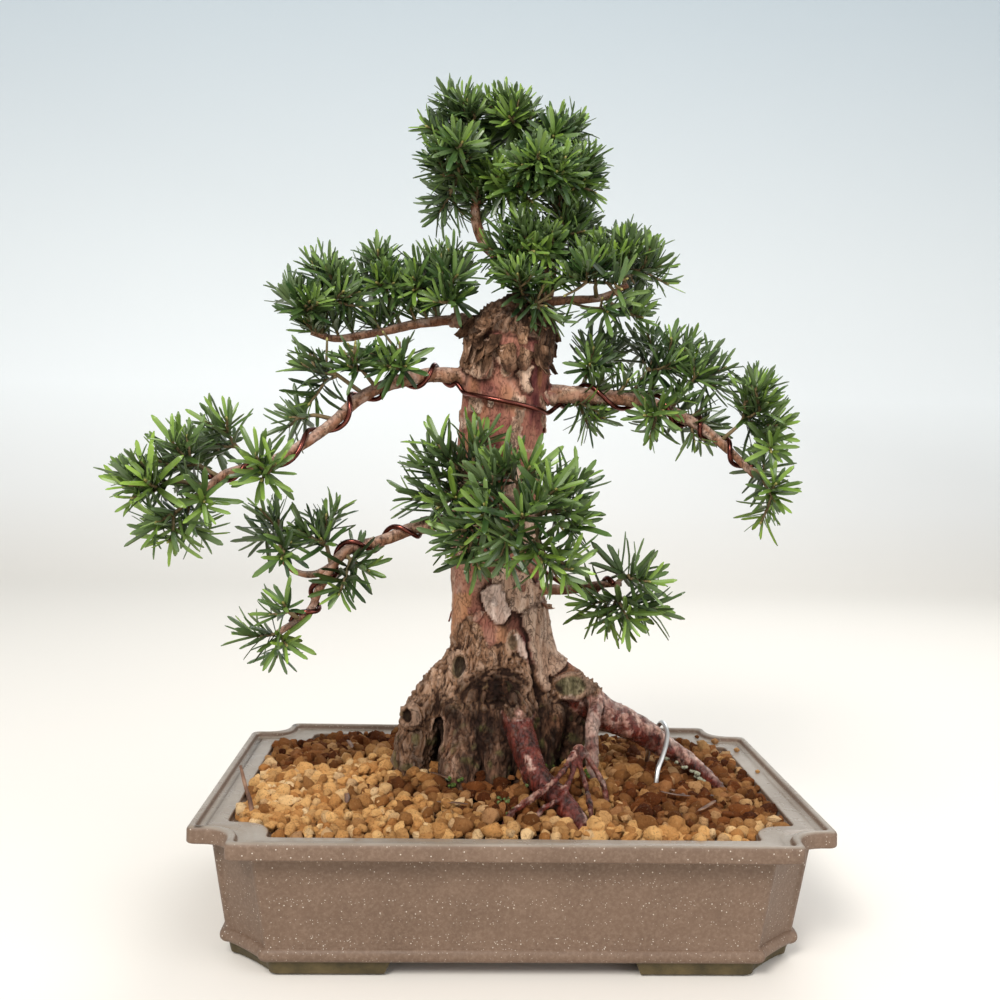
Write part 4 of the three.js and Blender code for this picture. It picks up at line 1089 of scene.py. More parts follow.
# The bark's patches on the front, as outlines of (x, z), each with its look and how far it stands out.
PATCHES = [
    ("orange", 0.0, [(-38, 204), (-26, 203), (-26, 190), (-34, 184), (-39, 174), (-45, 165), (-54, 154),
                     (-58, 170), (-46, 190)]),
    ("plate", 1.1, [(-14, 211), (-14, 218), (-9, 224), (9, 217), (18, 207), (22, 198), (10, 196), (9, 192.5),
                    (6, 192.5), (-1.6, 194.5), (-4.4, 199), (-8.8, 209)]),
    ("pale", 1.7, [(-20.4, 205), (-17, 208.7), (-8.8, 211.6), (-4.5, 201), (-1.6, 194), (-2.9, 189.7),
                   (-4.8, 185), (-11, 186), (-14.5, 189.5), (-17.4, 195), (-19.6, 200.4)]),
    ("plate", 2.1, [(5, 191), (10, 196), (17, 197.5), (26, 197.5), (40, 190), (40, 162), (34, 155), (29, 151),
                    (23, 150), (25, 144), (22.5, 140), (17.5, 148), (14.6, 156), (12.6, 167), (10, 177)]),
    ("pale", 0.5, [(1.4, 179.7), (4.8, 177.7), (9.4, 171), (11, 165), (8.6, 163), (4.4, 168.7)]),
    ("flaky", 1.4, [(-28, 364), (-18, 366), (-15.5, 356), (-16, 342), (-24, 340), (-33, 345), (-36, 356)]),
    ("plate", 1.0, [(-17, 364), (-10, 359), (-4.5, 356), (-4.3, 348), (-7, 344), (-11, 348), (-15.6, 355)]),
    ("flaky", 1.9, [(-2, 343.5), (3, 347.6), (10.4, 349), (8, 342), (8.5, 332), (3.5, 332), (1.6, 340)]),
]
# Above this line of (x, z) the trunk's front is smooth and peeling, and below it rough and fibrous.
ROUGH_EDGE = [(-60, 156), (-50, 160), (-40, 175), (-34, 185), (-25, 191), (-19, 181), (-15, 171),
              (-11, 172.6), (-4, 173.4), (6.5, 167), (12, 160), (30, 150), (60, 150)]
# The ragged lower edge of the old bark round the crown.
COLLAR_EDGE = [(-40, 362), (-34, 364), (-27, 367), (-21, 370), (-15, 371), (-5, 369), (4, 367.5), (12, 367),
               (14, 360), (20, 352), (26, 352), (40, 360)]
# The long crack at the left of the big plate, as (x, z, half width, depth).
CRACK = [(5, 191, 0.6, 1.2), (8.7, 179, 0.7, 1.6), (11.3, 167, 0.8, 2.0), (13.3, 157, 1.0, 2.6),
         (15.8, 149, 1.4, 3.4), (19, 141, 2.2, 4.5), (21, 131, 2.6, 5.0)]
# Round marks: kind, centre, half width and half height, and the way that they face.
MARKS = [
    ("eye", (-38.5, -30, 158), (5.6, 8.2), (-0.45, -1, 0.1)),
    ("scar", (40, -20, 145), (11, 6.8), (0.1, -1, 0.1)),
    ("oval", (0.7, -26, 174.5), (3.6, 6), (0, -1, 0)),
    ("oval", (-7, -24, 346), (3, 3.4), (0, -1, 0)),
    ("knob", (-12, -26, 198.4), (2.3, 2.3), (0, -1, 0)),
    ("stub", (-67, -24, 126), (6.2, 6.2), (-0.42, -0.9, 0.1)),
    ("hollow", (-47, -30, 116), (4.6, 10), (-0.2, -1, 0)),
]
# How far the marks that open inwards sink in.
MARK_SINK = {"eye": 3.0, "hollow": 9.0, "stub": 4.5}
FLAKY_LOOKS = {"plate": 1.0, "rough": 0.6}
# Of these looks, the dark one is partly the bark's own dark colour and partly painted shade, the pale one
# partly pale bark and partly painted highlight, and the last, how far the bark stands out, sets painted shade
# in its hollows and a painted highlight on its ridges.
LOOKS = ("plate", "rough", "orange", "dark", "moss", "pale", "face", "wet_root", "pink", "raised")


def inside_outline(outline, x, z):
    """How far inside an outline each point is, in millimetres; negative outside it."""
    nearest = np.full(x.shape, np.inf)
    within = np.zeros(x.shape, bool)
    for (ax, az), (bx, bz) in zip(outline, outline[1:] + outline[:1]):
        dx, dz = bx - ax, bz - az
        along = np.clip(((x - ax) * dx + (z - az) * dz) / (dx * dx + dz * dz), 0, 1)
        nearest = np.minimum(nearest, np.hypot(x - ax - along * dx, z - az - along * dz))
        if dz:
            within ^= ((az > z) != (bz > z)) & (x < ax + dx * (z - az) / dz)
    return np.where(within, nearest, -nearest)


def raise_look(look, name, values):
    """Makes a look at least as strong as these values."""
    look[name] = np.maximum(look[name], values)


def fade(look, names, share):
    for name in names:
        look[name] = look[name] * share


def line_height(line, x):
    return np.interp(x, [p[0] for p in line], [p[1] for p in line])


def bark_cells(points, scale):
    """Plates of peeling bark: the distance to the nearest seam, and a number of its own for each plate."""
    seams, picks = [], []
    for spot in (points / scale).tolist():
        distances, sites = noise.voronoi(spot)
        seams.append(distances[1] - distances[0])
        picks.append(noise.cell(sites[0]) * 0.5 + 0.5)
    return np.array(seams), np.array(picks) % 1


def bark_relief(places, normals):
    """How far the bark stands out at each place, in millimetres, and its looks."""
    look = {name: np.zeros(len(places)) for name in LOOKS}
    x = places[:, 0] + 1.5 * field(places, 7, 1) + 0.8 * field(places, 2.2, 2)
    z = places[:, 2] + 1.5 * field(places, 7, 3) + 0.8 * field(places, 2.2, 4)
    front = smooth(0.0, 0.35, -normals[:, 1])
    bent = places + swirl(places, 18, 7, 5)
    fibres = furrows(bent, (2.6, 2.6, 13), 8)
    grain = field(places, (1.7, 1.7, 6), 9)
    crust = field(bent, (8, 8, 17), 10) + 0.5 * field(bent, (3.4, 3.4, 7), 11)
    rough = smooth(1.4, -1.4, z - line_height(ROUGH_EDGE, x))
    above_edge = z - line_height(COLLAR_EDGE, x)
    collar = smooth(-0.8, 0.8, above_edge)
    upper = smooth(*UPPER_TRUNK, z)

    seams, picks = bark_cells(bent + swirl(places, 6, 4, 20), (12, 12, 30))
    peeling = (picks > mix(0.6, 0.72, upper)) * smooth(0.03, 0.09, seams)
    low, top = LOWER_PATCHES
    lower_patches = smooth(top, top - 8, z) * smooth(low, low + 6, z)
    hand_made = front * np.maximum(lower_patches, smooth(UPPER_PATCHES, UPPER_PATCHES + 8, z))
    plate = peeling * (1 - hand_made) * (1 - rough)
    look["plate"] = plate
    look["rough"] = plate * upper * smooth(-0.1, 0.3, crust)
    look["orange"] = smooth(0.15, 0.5, field(places, (14, 14, 30), 12)) * (1 - plate) * 0.9
    look["orange"] *= 1 - 0.85 * front * smooth(200, 207, z) * smooth(265, 250, z)
    out = plate * (0.8 + 0.5 * picks) + 0.18 * grain + plate * (0.25 + 0.3 * upper) * fibres

    out, free = add_patches(x, z, front, fibres, grain, look, out)
    rough = rough * free
    out += rough * (fibres + crust + 0.5 * grain)
    out += collar * (1.4 + fibres + 1.2 * crust)
    # Painted shadow: a dark band just under the collar's ragged edge.
    raise_look(look, "dark", 0.9 * np.exp(-((above_edge + 1.5) / 1.3) ** 2))
    raise_look(look, "rough", np.maximum(rough, collar))
    raise_look(look, "dark", collar * mix(0.5, 0.8, smooth(-0.3, 0.3, crust)))
    out = add_foot(places, front, crust, look, out)
    return add_crack(x, z, front, look, out), look


def add_patches(x, z, front, fibres, grain, look, out):
    """The listed patches, each with a lifted edge and a painted shadow round it, and the share left free."""
    free = 1.0
    for name, rise, outline in PATCHES:
        depth = inside_outline(outline, x, z)
        on = smooth(-0.2, 0.6, depth) * front
        lifted = rise * (1 + 0.45 * np.exp(-(np.maximum(depth, 0) / 1.4) ** 2))
        out = mix(out, lifted + 0.3 * fibres * (name == "plate") + 0.2 * grain, on)
        free = free * (1 - on)
        wanted = FLAKY_LOOKS if name == "flaky" else {name: 1.0}
        for other in ("plate", "orange", "pale", "rough"):
            look[other] = mix(look[other], wanted.get(other, 0.0), on)
        # Painted shadow: a dark rim just outside each lifted patch.
        under = np.exp(-((depth + 0.8) / 0.7) ** 2) * front * min(rise, 1)
        raise_look(look, "dark", under * 0.75)
    return out, free


def add_foot(places, front, crust, look, out):
    """The dark, folded heart of the trunk's foot, with painted shade in its folds, and the painted shade
    between its roots and under the scar.
    """
    x, z = places[:, 0], places[:, 2]
    heart = np.exp(-(away(x, z, *HEART) ** 2)) * front
    u, w = x - FOLDS_CENTRE[0], z - FOLDS_CENTRE[1]
    turn = np.stack([np.hypot(u, w * 1.3) / 3.2, np.arctan2(w, u) * 1.6, places[:, 1] / 9], 1)
    out = out + heart * (2.6 * furrows(turn, 1.0, 13) + 0.8 * crust - 1.5)
    low = smooth(150, 124, z) * mix(0.45, 1.0, smooth(-58, -42, x))
    low = low * (1 - 0.8 * np.exp(-(((x + 37) / 5) ** 2)) * smooth(118, 108, z))
    shoulder = np.exp(-away(x, z, *SHOULDER)) * front
    mottled = smooth(-0.3, 0.35, crust)
    # Painted shade: the heart, the low parts between the roots and the area under the scar are darkened.
    for shade, least, most in ((heart, 0.85, 1.0), (low, 0.66, 1.0), (shoulder, 0.5, 0.95)):
        raise_look(look, "dark", np.minimum(shade * mix(least, most, mottled), 0.97))
    damp = smooth(0.15, 0.45, field(places, 7, 14)) * smooth(138, 122, z) * 0.6
    raise_look(look, "moss", damp + heart * smooth(0.3, 0.5, field(places, 4, 15)) * 0.3)
    return out


def add_crack(x, z, front, look, out):
    """The long crack that opens downwards beside the big plate, darkened inside as painted shade."""
    heights = [point[1] for point in reversed(CRACK)]
    middle, width, depth = (np.interp(z, heights, [point[k] for point in reversed(CRACK)]) for k in (0, 2, 3))
    reach = smooth(heights[0] - 4, heights[0], z) * smooth(heights[-1] + 1, heights[-1] - 1, z) * front
    groove = np.exp(-((x - middle) / width) ** 2) * reach
    # Painted shade inside the crack.
    raise_look(look, "dark", groove)
    return out - groove * depth


def add_marks(places, look, out):
    """Knots, scars, the cut stub and the hollow beside it, with painted shade in the sunk marks and a painted
    highlight inside the eye.
    """
    for kind, centre, reach, facing in MARKS:
        facing = unit(np.array(facing, float))
        level = unit(np.cross((0, 0, 1), facing))
        rise = np.cross(facing, level)
        offset = places - np.array(centre)
        u, w = offset @ level / reach[0], offset @ rise / reach[1]
        d = np.hypot(u, w)
        near = (d < 2.2) & (abs(offset @ facing) < 14)
        ring = np.exp(-((d - 1.12) / 0.2) ** 2) * near
        hollow = smooth(0.95, 0.6, d) * near
        disc = smooth(1.15, 0.95, d) * near
        if kind in MARK_SINK:
            out = out * (1 - hollow) - hollow * MARK_SINK[kind] + ring * (0.4 if kind == "hollow" else 1.6)
            # Painted shade: the sunk marks are darkened inside, the eye only on its side away from the light,
            # and their lip is kept light.
            fade(look, ("dark",), 1 - ring * 0.8)
            raise_look(look, "dark", hollow * (smooth(0.5, -0.6, u) if kind == "eye" else 1.0))
        if kind == "eye":
            outer = np.exp(-((d - 1.6) / 0.16) ** 2) * near
            out = out + outer * 1.1
            raise_look(look, "face", hollow)
            # Painted highlight on the eye's inner side that faces the light.
            raise_look(look, "pale", hollow * smooth(0.25, 0.6, u) * smooth(0.4, -0.2, w) * 0.7)
        elif kind in ("scar", "oval"):
            out = mix(out, 0.4 + 0.5 * field(places, (7, 7, 1.8), 27), disc) + ring * 1.7
            fade(look, ("dark", "wet_root", "pink", "moss"), (1 - disc) * (1 - ring * 0.7))
            raise_look(look, "rough", ring)
            raise_look(look, "face", smooth(1.0, 0.8, d) * near * (1.0 if kind == "scar" else 0.6))
        elif kind == "knob":
            out = out + disc * 2.2
            raise_look(look, "pale", disc * 0.5)
    return out


def color_roots(places, normals, look, out):
    """Turns the surface roots red and wet where they lie, with paler flakes on the upper ones, more of them
    on upward faces as painted top light, a painted highlight along the right root's top and painted shade
    under the trunk's right side.
    """
    nearest = np.full(len(places), np.inf)
    red = np.zeros(len(places))
    for route, radii, redness in ROOTS:
        line, sizes = limb_line(route, radii, len(route) * 5)
        for point, size in zip(line, sizes):
            gap = np.linalg.norm(places - point, axis=1) - size
            closer = gap < nearest
            nearest[closer] = gap[closer]
            red[closer] = redness
    start = np.where(places[:, 0] > RED_SIDE, RED_BELOW[1], RED_BELOW[0]) + 6 * field(places, 6, 29)
    red = red * smooth(start, start - 9, places[:, 2]) * smooth(5, 1.5, nearest)
    bent = places + swirl(places, 5, 6, 17)
    seams, picks = bark_cells(bent, (7, 7, 12))
    flakes = (picks > mix(0.55, 0.86, smooth(0.9, 1.0, red))) * smooth(0.03, 0.2, seams)
    out = mix(out, 0.6 * flakes + 0.4 * field(places, 6, 16), smooth(0.0, 0.45, red))
    keep = 1 - smooth(0.0, 0.6, red)
    flaky = mix(1.0, 0.0, smooth(0.6, 0.95, red)) + 0.5 * smooth(35, 60, places[:, 0])
    fade(look, ("rough", "dark", "plate", "moss"), np.maximum(keep, 0.12))
    look["wet_root"] = smooth(0.0, 0.5, red)
    # The pink flakes are real; their pull towards upward faces is painted top light.
    upward_painted_light = 0.5 + 0.5 * smooth(-0.1, 0.7, normals[:, 2])
    mottle = smooth(-0.35, 0.15, field(bent, 8, 23))
    look["pink"] = look["wet_root"] * np.clip(flakes * 0.7 + mottle * flaky, 0, 1) * upward_painted_light
    hanging = smooth(0.5, 0.58, red) * smooth(0.72, 0.62, red) * 0.36
    # Painted highlight along the top of the right root.
    painted_top_light = smooth(0.3, 0.9, normals[:, 2]) * smooth(50, 64, places[:, 0]) * look["wet_root"] * 0.5
    raise_look(look, "pale", np.maximum(hanging, painted_top_light) * mix(0.3, 1.0, mottle))
    raise_look(look, "dark", look["wet_root"] * smooth(0.05, 0.0, seams) * 0.6)
    # Painted shade in the hollow under the trunk's right side, off the roots.
    painted_cavern_shade = smooth(131, 124, places[:, 2]) * smooth(6, 14, places[:, 0]) * (1 - look["wet_root"])
    raise_look(look, "dark", painted_cavern_shade * 0.9)
    return out


def color_stumps(places, look):
    """Gives the limbs' first stretch the limbs' own bark."""
    heights = [section[2] for section in TRUNK]
    x, y, wide, deep = (np.interp(places[:, 2], heights, [s[k] for s in TRUNK]) for k in (0, 1, 3, 4))
    beyond = np.hypot((places[:, 0] - x) / wide, (places[:, 1] - y) / deep)
    on_limb = smooth(1.16, 1.3, beyond) * smooth(195, 205, places[:, 2])
    fade(look, ("plate", "dark", "rough", "pale", "orange"), 1 - on_limb)
    raise_look(look, "orange", on_limb * 0.6)
    raise_look(look, "rough", on_limb * smooth(-0.2, 0.4, field(places, 5, 24)))


def standing_out(piece, rounds):
    """How far each vertex stands out of the surface smoothed round it, in millimetres."""
    ends = edge_ends(piece.data)
    a, b = np.concatenate([ends, ends[:, ::-1]]).T
    count = len(piece.data.vertices)
    degree = np.bincount(a, minlength=count)
    sharp = places_of(piece)
    soft = sharp.copy()
    for _ in range(rounds):
        soft = np.stack([np.bincount(a, soft[b, k], minlength=count) for k in range(3)], 1) / degree[:, None]
    return ((sharp - soft) * normals_of(piece)).sum(1)


def make_wood(material, wet_material):
    """The trunk and its surface roots, grown together by remeshing, with the bark's relief."""
    parts = [trunk_body(), tube([STUB["from"], STUB["to"]], STUB["radii"], 24)]
    parts += [knobby_tube(route, radii, len(route) * 6, 20, 0.1) for route, radii, _ in ROOTS]
    for name, (route, radii) in LIMBS.items():
        if name not in SIDE_LIMBS:
            points, sizes = limb_line(route, radii, 40)
            parts.append(tube(points[:LIMB_STUMP], sizes[:LIMB_STUMP], 16))
    wood = make_piece("wood", *joined(parts), [material, wet_material])
    remesh = wood.modifiers.new("skin", "REMESH")
    remesh.mode = "VOXEL"
    remesh.voxel_size = WOOD_VOXEL * MM
    apply_modifiers(wood)
    wood.data.shade_smooth()
    places, normals = places_of(wood), normals_of(wood)
    out, look = bark_relief(places, normals)
    out = color_roots(places, normals, look, out)
    out = add_marks(places, look, out)
    color_stumps(places, look)
    wood.data.vertices.foreach_set("co", world(places + normals * out[:, None]).ravel())
    wood.data.update()
    # How far the bark stands out, which the bark material turns into painted shade in its hollows and a
    # painted highlight on its ridges.
    look["raised"] = np.clip(0.5 + standing_out(wood, 14) * 0.45, 0, 1)
    add_looks(wood, **look)
    first = [p.vertices[0] for p in wood.data.polygons]
    wood.data.polygons.foreach_set("material_index", (look["wet_root"][first] > 0.5).astype(np.int32))
    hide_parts("trunk")
    return wood


def bark_flake(hit, normal, down, size, curl):
    """One thin curled scale of bark, held at its upper edge: a bent grid with a back."""
    across = unit(np.cross(normal, down))
    down = unit(np.cross(across, normal))
    front = []
    for j in range(FLAKE_ROWS):
        v = j / (FLAKE_ROWS - 1)
        wide = size * 0.34 * (1 - 0.45 * v**2) * rng.uniform(0.85, 1.15)
        for i in range(FLAKE_COLUMNS):
            u = i / (FLAKE_COLUMNS - 1) * 2 - 1
            lift = 0.5 + curl * size * v**1.7 + 0.12 * size * u * u * v
            point = hit + across * u * wide + down * size * v * (1 - 0.25 * curl * v) + normal * lift
            front.append(point + np.array([jitter(0.25) for _ in range(3)]))
    count = len(front)
    faces = []
    for a in range(count - FLAKE_COLUMNS):
        if (a + 1) % FLAKE_COLUMNS:
            quad = (a, a + 1, a + FLAKE_COLUMNS + 1, a + FLAKE_COLUMNS)
            faces.append(quad)
            faces.append(tuple(count + k for k in reversed(quad)))
    rim = [
        *range(FLAKE_COLUMNS),
        *range(2 * FLAKE_COLUMNS - 1, count, FLAKE_COLUMNS),
        *range(count - 2, count - FLAKE_COLUMNS - 1, -1),
        *range(count - 2 * FLAKE_COLUMNS, 0, -FLAKE_COLUMNS),
    ]
    faces += [(b, a, count + a, count + b) for a, b in zip(rim, rim[1:] + rim[:1])]
    return np.concatenate([front, np.array(front) - normal * FLAKE_THICKNESS]), faces


def make_flakes(material, tree):
    """Scales of old bark that curl off the trunk: thick round the crown, fewer below, one big one."""
    spots = [BIG_FLAKE]
    for count, heights, centre, radius, sizes, curl in FLAKES:
        for _ in range(count):
            angle = any_angle()
            z = rng.uniform(*heights)
            start = (radius * math.cos(angle) + centre[0], radius * math.sin(angle) + centre[1], z)
            spots.append((start, None, rng.uniform(*sizes), curl))
    flakes = []
    for start, down, size, curl in spots:
        aim = Vector((*TRUNK_AXIS, start[2]))
        hit, normal, _, _ = tree.ray_cast(Vector(start), aim - Vector(start))
        if hit is None:
            continue
        down = np.array(down or (jitter(0.5), jitter(0.5), -1))
        flakes.append(bark_flake(np.array(hit), np.array(normal), down, size, curl * rng.uniform(0.4, 1.4)))
    piece = make_piece("bark_flakes", *joined(flakes), [material])
    places = places_of(piece)
    old = smooth(338, 350, places[:, 2])
    add_looks(
        piece,
        plate=smooth(-0.3, 0.3, field(places, 12, 28)),
        rough=old,
        dark=old * smooth(-0.5, 0.3, field(places, 9, 30)) * 0.75,
        raised=0.52,
    )


def make_branches(material):
    """The limbs, each a knobby tube that starts inside the trunk."""
    parts = [knobby_tube(route, radii, len(route) * 8, 16, 0.14) for route, radii in LIMBS.values()]
    branches = make_piece("branches", *joined(parts), [material])
    places = places_of(branches)
    # Painted highlight: the limbs' upper sides are painted paler.
    painted_top_light = smooth(0.1, 0.8, normals_of(branches)[:, 2]) * 0.42
    add_looks(
        branches,
        orange=0.5,
        rough=mix(0.35, 1.0, smooth(-0.2, 0.4, field(places, 5, 24))),
        pale=np.maximum(smooth(0.25, 0.5, field(places, 7, 25)) * 0.5, painted_top_light),
        raised=np.clip(0.5 + 0.3 * field(places, 2.2, 26), 0, 1),
    )


# Wires


def coil(limb, start, end, angle, way):
    route, radii = LIMBS[limb]
    curve = Curve(route)
    steps = round(curve.length() * (end - start) / WIRE_PITCH * STEPS_PER_TURN)
    points = []
    for i in range(steps + 1):
        t = mix(start, end, i / steps)
        along = curve.tangent(t)
        side = unit(np.cross((0, 0, 1), along))
        over = np.cross(along, side)
        turned = angle + way * i / STEPS_PER_TURN * 2 * math.pi
        reach = mix(radii[0], radii[1], t**LIMB_TAPER) + WIRE_RADIUS + 0.2
        points.append(curve.at(t) + side * math.cos(turned) * reach + over * math.sin(turned) * reach)
    return points


def across_trunk(angles, heights, steps):
    points = []
    for i in range(steps + 1):
        angle = math.radians(mix(*angles, i / steps))
        z = mix(*heights, i / steps)
        high = next(k for k, section in enumerate(TRUNK) if section[2] > z)
        a, b = np.array(TRUNK[high - 1], float), np.array(TRUNK[high], float)
        x, y, _, wide, deep = mix(a, b, (z - a[2]) / (b[2] - a[2]))
        lift = WIRE_RADIUS + 2.2
        points.append(np.array((x + math.cos(angle) * (wide + lift), y + math.sin(angle) * (deep + lift), z)))
    return points


def make_wires(metal):
    """The brown training wires, each coiled on one limb, led across the trunk and coiled on another."""
    for name, wire in WIRES.items():
        coarse = [*reversed(coil(**wire["first"])), *across_trunk(**wire["across"]), *coil(**wire["last"])]
        line = Curve(coarse).sample(len(coarse) * 4)
        piece = make_piece(name + "_round", *tube(line, [WIRE_RADIUS] * len(line), 12), [metal])
        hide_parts(name)


def make_tie(metal):
    """The bright wire over the right root, which runs down through both tie holes and under the floor."""
    x, y = TIE_HOLE["x"], TIE_HOLE["y"]
    under = FOOT_HEIGHT - TIE_RADIUS - 0.7
    in_pot = FLOOR_TOP + 2
    loop = [(y, in_pot), (y, under + 3), (y - 3, under), (3 - y, under), (-y, under + 3), (-y, in_pot)]
    line = Curve([*TIE_END, *[(x, a, b) for a, b in loop], *TIE_OVER_ROOT]).sample(110)
    tie = make_piece("tie_round", *tube(line, [TIE_RADIUS] * len(line), 12), [metal])
    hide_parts("tie_wire")


def make_twig(bark):
    """The dead twig that stands in the soil at the left."""
    route, radii = DRY_TWIG
    twig = make_piece("dry_twig_bark", *knobby_tube(route, radii, 24, 10, 0.2), [bark])
    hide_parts("dry_twig")


# Foliage


def needle_template():
    """A blunt blade with a creased middle: vertices as (share of length, across, out), and quads."""
    vertices, faces = [], []
    for t, width in OUTLINE:
        half = width / 2
        fold = -NEEDLE_FOLD * width
        back = fold - NEEDLE_THICKNESS / NEEDLE_WIDTH
        vertices += [(t, -half, 0), (t, 0, fold), (t, half, 0), (t, 0, back)]
    for k in range(len(OUTLINE) - 1):
        for i in range(4):
            j = (i + 1) % 4
            faces.append((4 * k + i, 4 * k + 4 + i, 4 * k + 4 + j, 4 * k + j))
    faces.append((0, 1, 2, 3))
    last = 4 * (len(OUTLINE) - 1)
    faces.append((last + 3, last + 2, last + 1, last))
    return np.array(vertices, float), np.array(faces)


TEMPLATE, TEMPLATE_FACES = needle_template()


def stem_base(limb, tips):
    curve = Curve(LIMBS[limb][0])
    centre = np.mean([np.array(t, float) for t in tips], axis=0)
    reach = [np.linalg.norm(curve.at(i / LIMB_STEPS) - centre) for i in range(LIMB_STEPS + 1)]
    nearest = reach.index(min(reach)) / LIMB_STEPS
    base = curve.at(min(max(nearest - STEM_LAG, 0.02), 0.98))
    hub = mix(base, centre, FORK_SHARE)
    hub[2] += FORK_RISE * np.linalg.norm(centre - base)
    return base, hub


def side_shoots(line, count, low=0.3, high=0.85, rise=0.4):
    """Short shoots that branch off a longer one, leaning forwards and upwards."""
    curve = Curve(line)
    lines = []
    for _ in range(count):
        s = rng.uniform(low, high)
        along = curve.tangent(s)
        across = unit(np.cross(along, any_direction()))
        start = curve.at(s)
        end = start + unit(along * 0.7 + across + np.array((0, 0, rise))) * rng.uniform(*SIDE_REACH)
        lines.append([start, mix(start, end, 0.5) - np.array((0, 0, 0.7)), end])
    return lines


def hides_limb(point):
    """Whether a needle that reaches this point would hang across the front of a limb that shows bare."""
    near = [spot for spot in BARE_PLACES if spot[1] > point[1] - 3]
    return any(math.hypot(point[0] - x, point[2] - z) < BARE_GAP for x, _, z in near)


def shoot_needles(line, fresh, scale, apart, lift):
    """Each needle of one shoot: foot, direction, upper side, size, youth, and how deep it stands in the
    spray, which sets its painted shade.
    """
    curve = Curve(line)
    length = curve.length()
    leafy = min(LEAFY_LENGTH * scale, length * 0.92)
    count = int(leafy / (NEEDLE_SPACING * scale * apart))
    turn = any_angle()
    needles = []
    for i in range(count):
        back = leafy * (i + 0.3) / count
        t = max(1 - back / length, 0.02)
        along = curve.tangent(t)
        side = unit(np.cross(along, (0.3, 0.2, 0.9)))
        other = np.cross(along, side)
        angle = turn + i * GOLDEN_ANGLE + jitter(0.3)
        outward = side * math.cos(angle) + other * math.sin(angle)
        tilt = math.radians(mix(24, 66, (back / leafy) ** 0.6)) + jitter(0.28)
        direction = unit(along * math.cos(tilt) + outward * math.sin(tilt) + np.array((0, 0, lift)))
        upper = along * math.sin(tilt) - outward * math.cos(tilt) + LIGHTWARD
        upper = unit(upper - direction * upper.dot(direction))
        size = mix(0.6, 1.0, min(back / 5, 1)) * rng.uniform(0.76, 1.12) * scale
        young = float(smooth(9, 0, back)) * rng.uniform(0.25, 0.8) + fresh * rng.uniform(0.35, 1.0)
        foot = curve.at(t) + outward * SHOOT_RADIUS * 0.7
        tip = foot + direction * size * NEEDLE_LENGTH
        if not inside(WOOD_TREE, Vector(tip)) and not hides_limb(tip) and not hides_limb(mix(foot, tip, 0.5)):
            # The last value is the needle's painted shade, from how deep in the shoot it stands.
            needles.append((foot, direction, upper, size, min(young, 1), float(smooth(4, 20, back))))
    return needles


def needle_mesh(needles):
    """All of a spray's needles as vertices and faces, with their youth and their painted shade, stronger deep
    in the spray and at the needles' feet.
    """
    count = len(needles)
    foot, direction, upper, size, young, deep = (np.array(values) for values in zip(*needles))
    across = np.cross(direction, upper)
    bend = np.array([rng.uniform(-0.28, 0.14) for _ in range(count)])
    sweep = np.array([jitter(0.16) for _ in range(count)])
    t = TEMPLATE[:, 0]
    along = np.outer(size * NEEDLE_LENGTH, t)
    rise = (size * NEEDLE_LENGTH * bend)[:, None] * t**2 + np.outer(NEEDLE_WIDTH * size, TEMPLATE[:, 2])
    wide = (size * NEEDLE_LENGTH * sweep)[:, None] * t**2 + np.outer(NEEDLE_WIDTH * size, TEMPLATE[:, 1])
    vertices = (
        foot[:, None]
        + direction[:, None] * along[..., None]
        + upper[:, None] * rise[..., None]
        + across[:, None] * wide[..., None]
    ).reshape(-1, 3)
    faces = repeated(TEMPLATE_FACES, count, len(TEMPLATE))
    young = np.repeat(young, len(TEMPLATE)) * np.tile(mix(0.55, 1.15, t), count)
    # Painted shade, stronger towards each needle's foot.
    deep = np.repeat(deep, len(TEMPLATE)) * np.tile(mix(0.9, 0.5, t), count)
    return vertices, faces, young, deep


def bud(at, along):
    rings = ((-0.6, 0.7), (0.3, 0.9), (1.1, 0.7), (1.8, 0.2))
    return tube([at + along * ahead for ahead, _ in rings], [radius for _, radius in rings], 7)


class Leafage:
    """The stems, buds and needles of one leafy piece, which grow as their limb's shoots do."""

    def __init__(self, limb):
        self.size, self.apart, self.sides, self.lift = GROWTH[limb]
        self.stems, self.buds, self.needles = [], [], []

    def grow(self, line, stem, radii, fresh):
        """One shoot along a line, on a stem that may reach further back."""
        self.stems.append(tube(Curve(stem).sample(STEM_STEPS), np.linspace(*radii, STEM_STEPS + 1), 6))
        self.needles += shoot_needles(line, fresh, self.size, self.apart, self.lift)
        self.buds.append(bud(line[-1], unit(line[-1] - line[-2])))

    def make(self, name, materials):
        needle_vertices, needle_faces, young, deep = needle_mesh(self.needles)
        parts = [(needle_vertices, needle_faces.tolist()), joined(self.stems), joined(self.buds)]
        piece = make_piece(name, *joined(parts), materials)
        slots = np.repeat((0, 1, 2), [len(faces) for _, faces in parts])
        piece.data.polygons.foreach_set("material_index", slots.astype(np.int32))
        mark_needles(piece, len(needle_vertices), len(needle_faces), young, deep)
        return piece


def mark_needles(piece, vertex_count, face_count, young, deep):
    """Gives the needles their youth, painted shade and underside, and sharpens their edges and middle crease.
    """
    mesh = piece.data
    rest = np.zeros(len(mesh.vertices) - vertex_count)
    add_looks(piece, young=np.concatenate([young, rest]), deep=np.concatenate([deep, rest]), green=0.35)
    under = np.zeros(len(mesh.polygons), np.float32)
    per = len(TEMPLATE_FACES)
    place = np.arange(face_count) % per
    under[:face_count] = ((place < per - 2) & (place % 4 >= 2)).astype(np.float32)
    mesh.attributes.new("under", "FLOAT", "FACE").data.foreach_set("value", under)
    ends = edge_ends(mesh)
    lengthwise = (ends.max(axis=1) < vertex_count) & (ends[:, 0] % 4 == ends[:, 1] % 4)
    mesh.attributes.new("sharp_edge", "BOOLEAN", "EDGE").data.foreach_set("value", lengthwise)


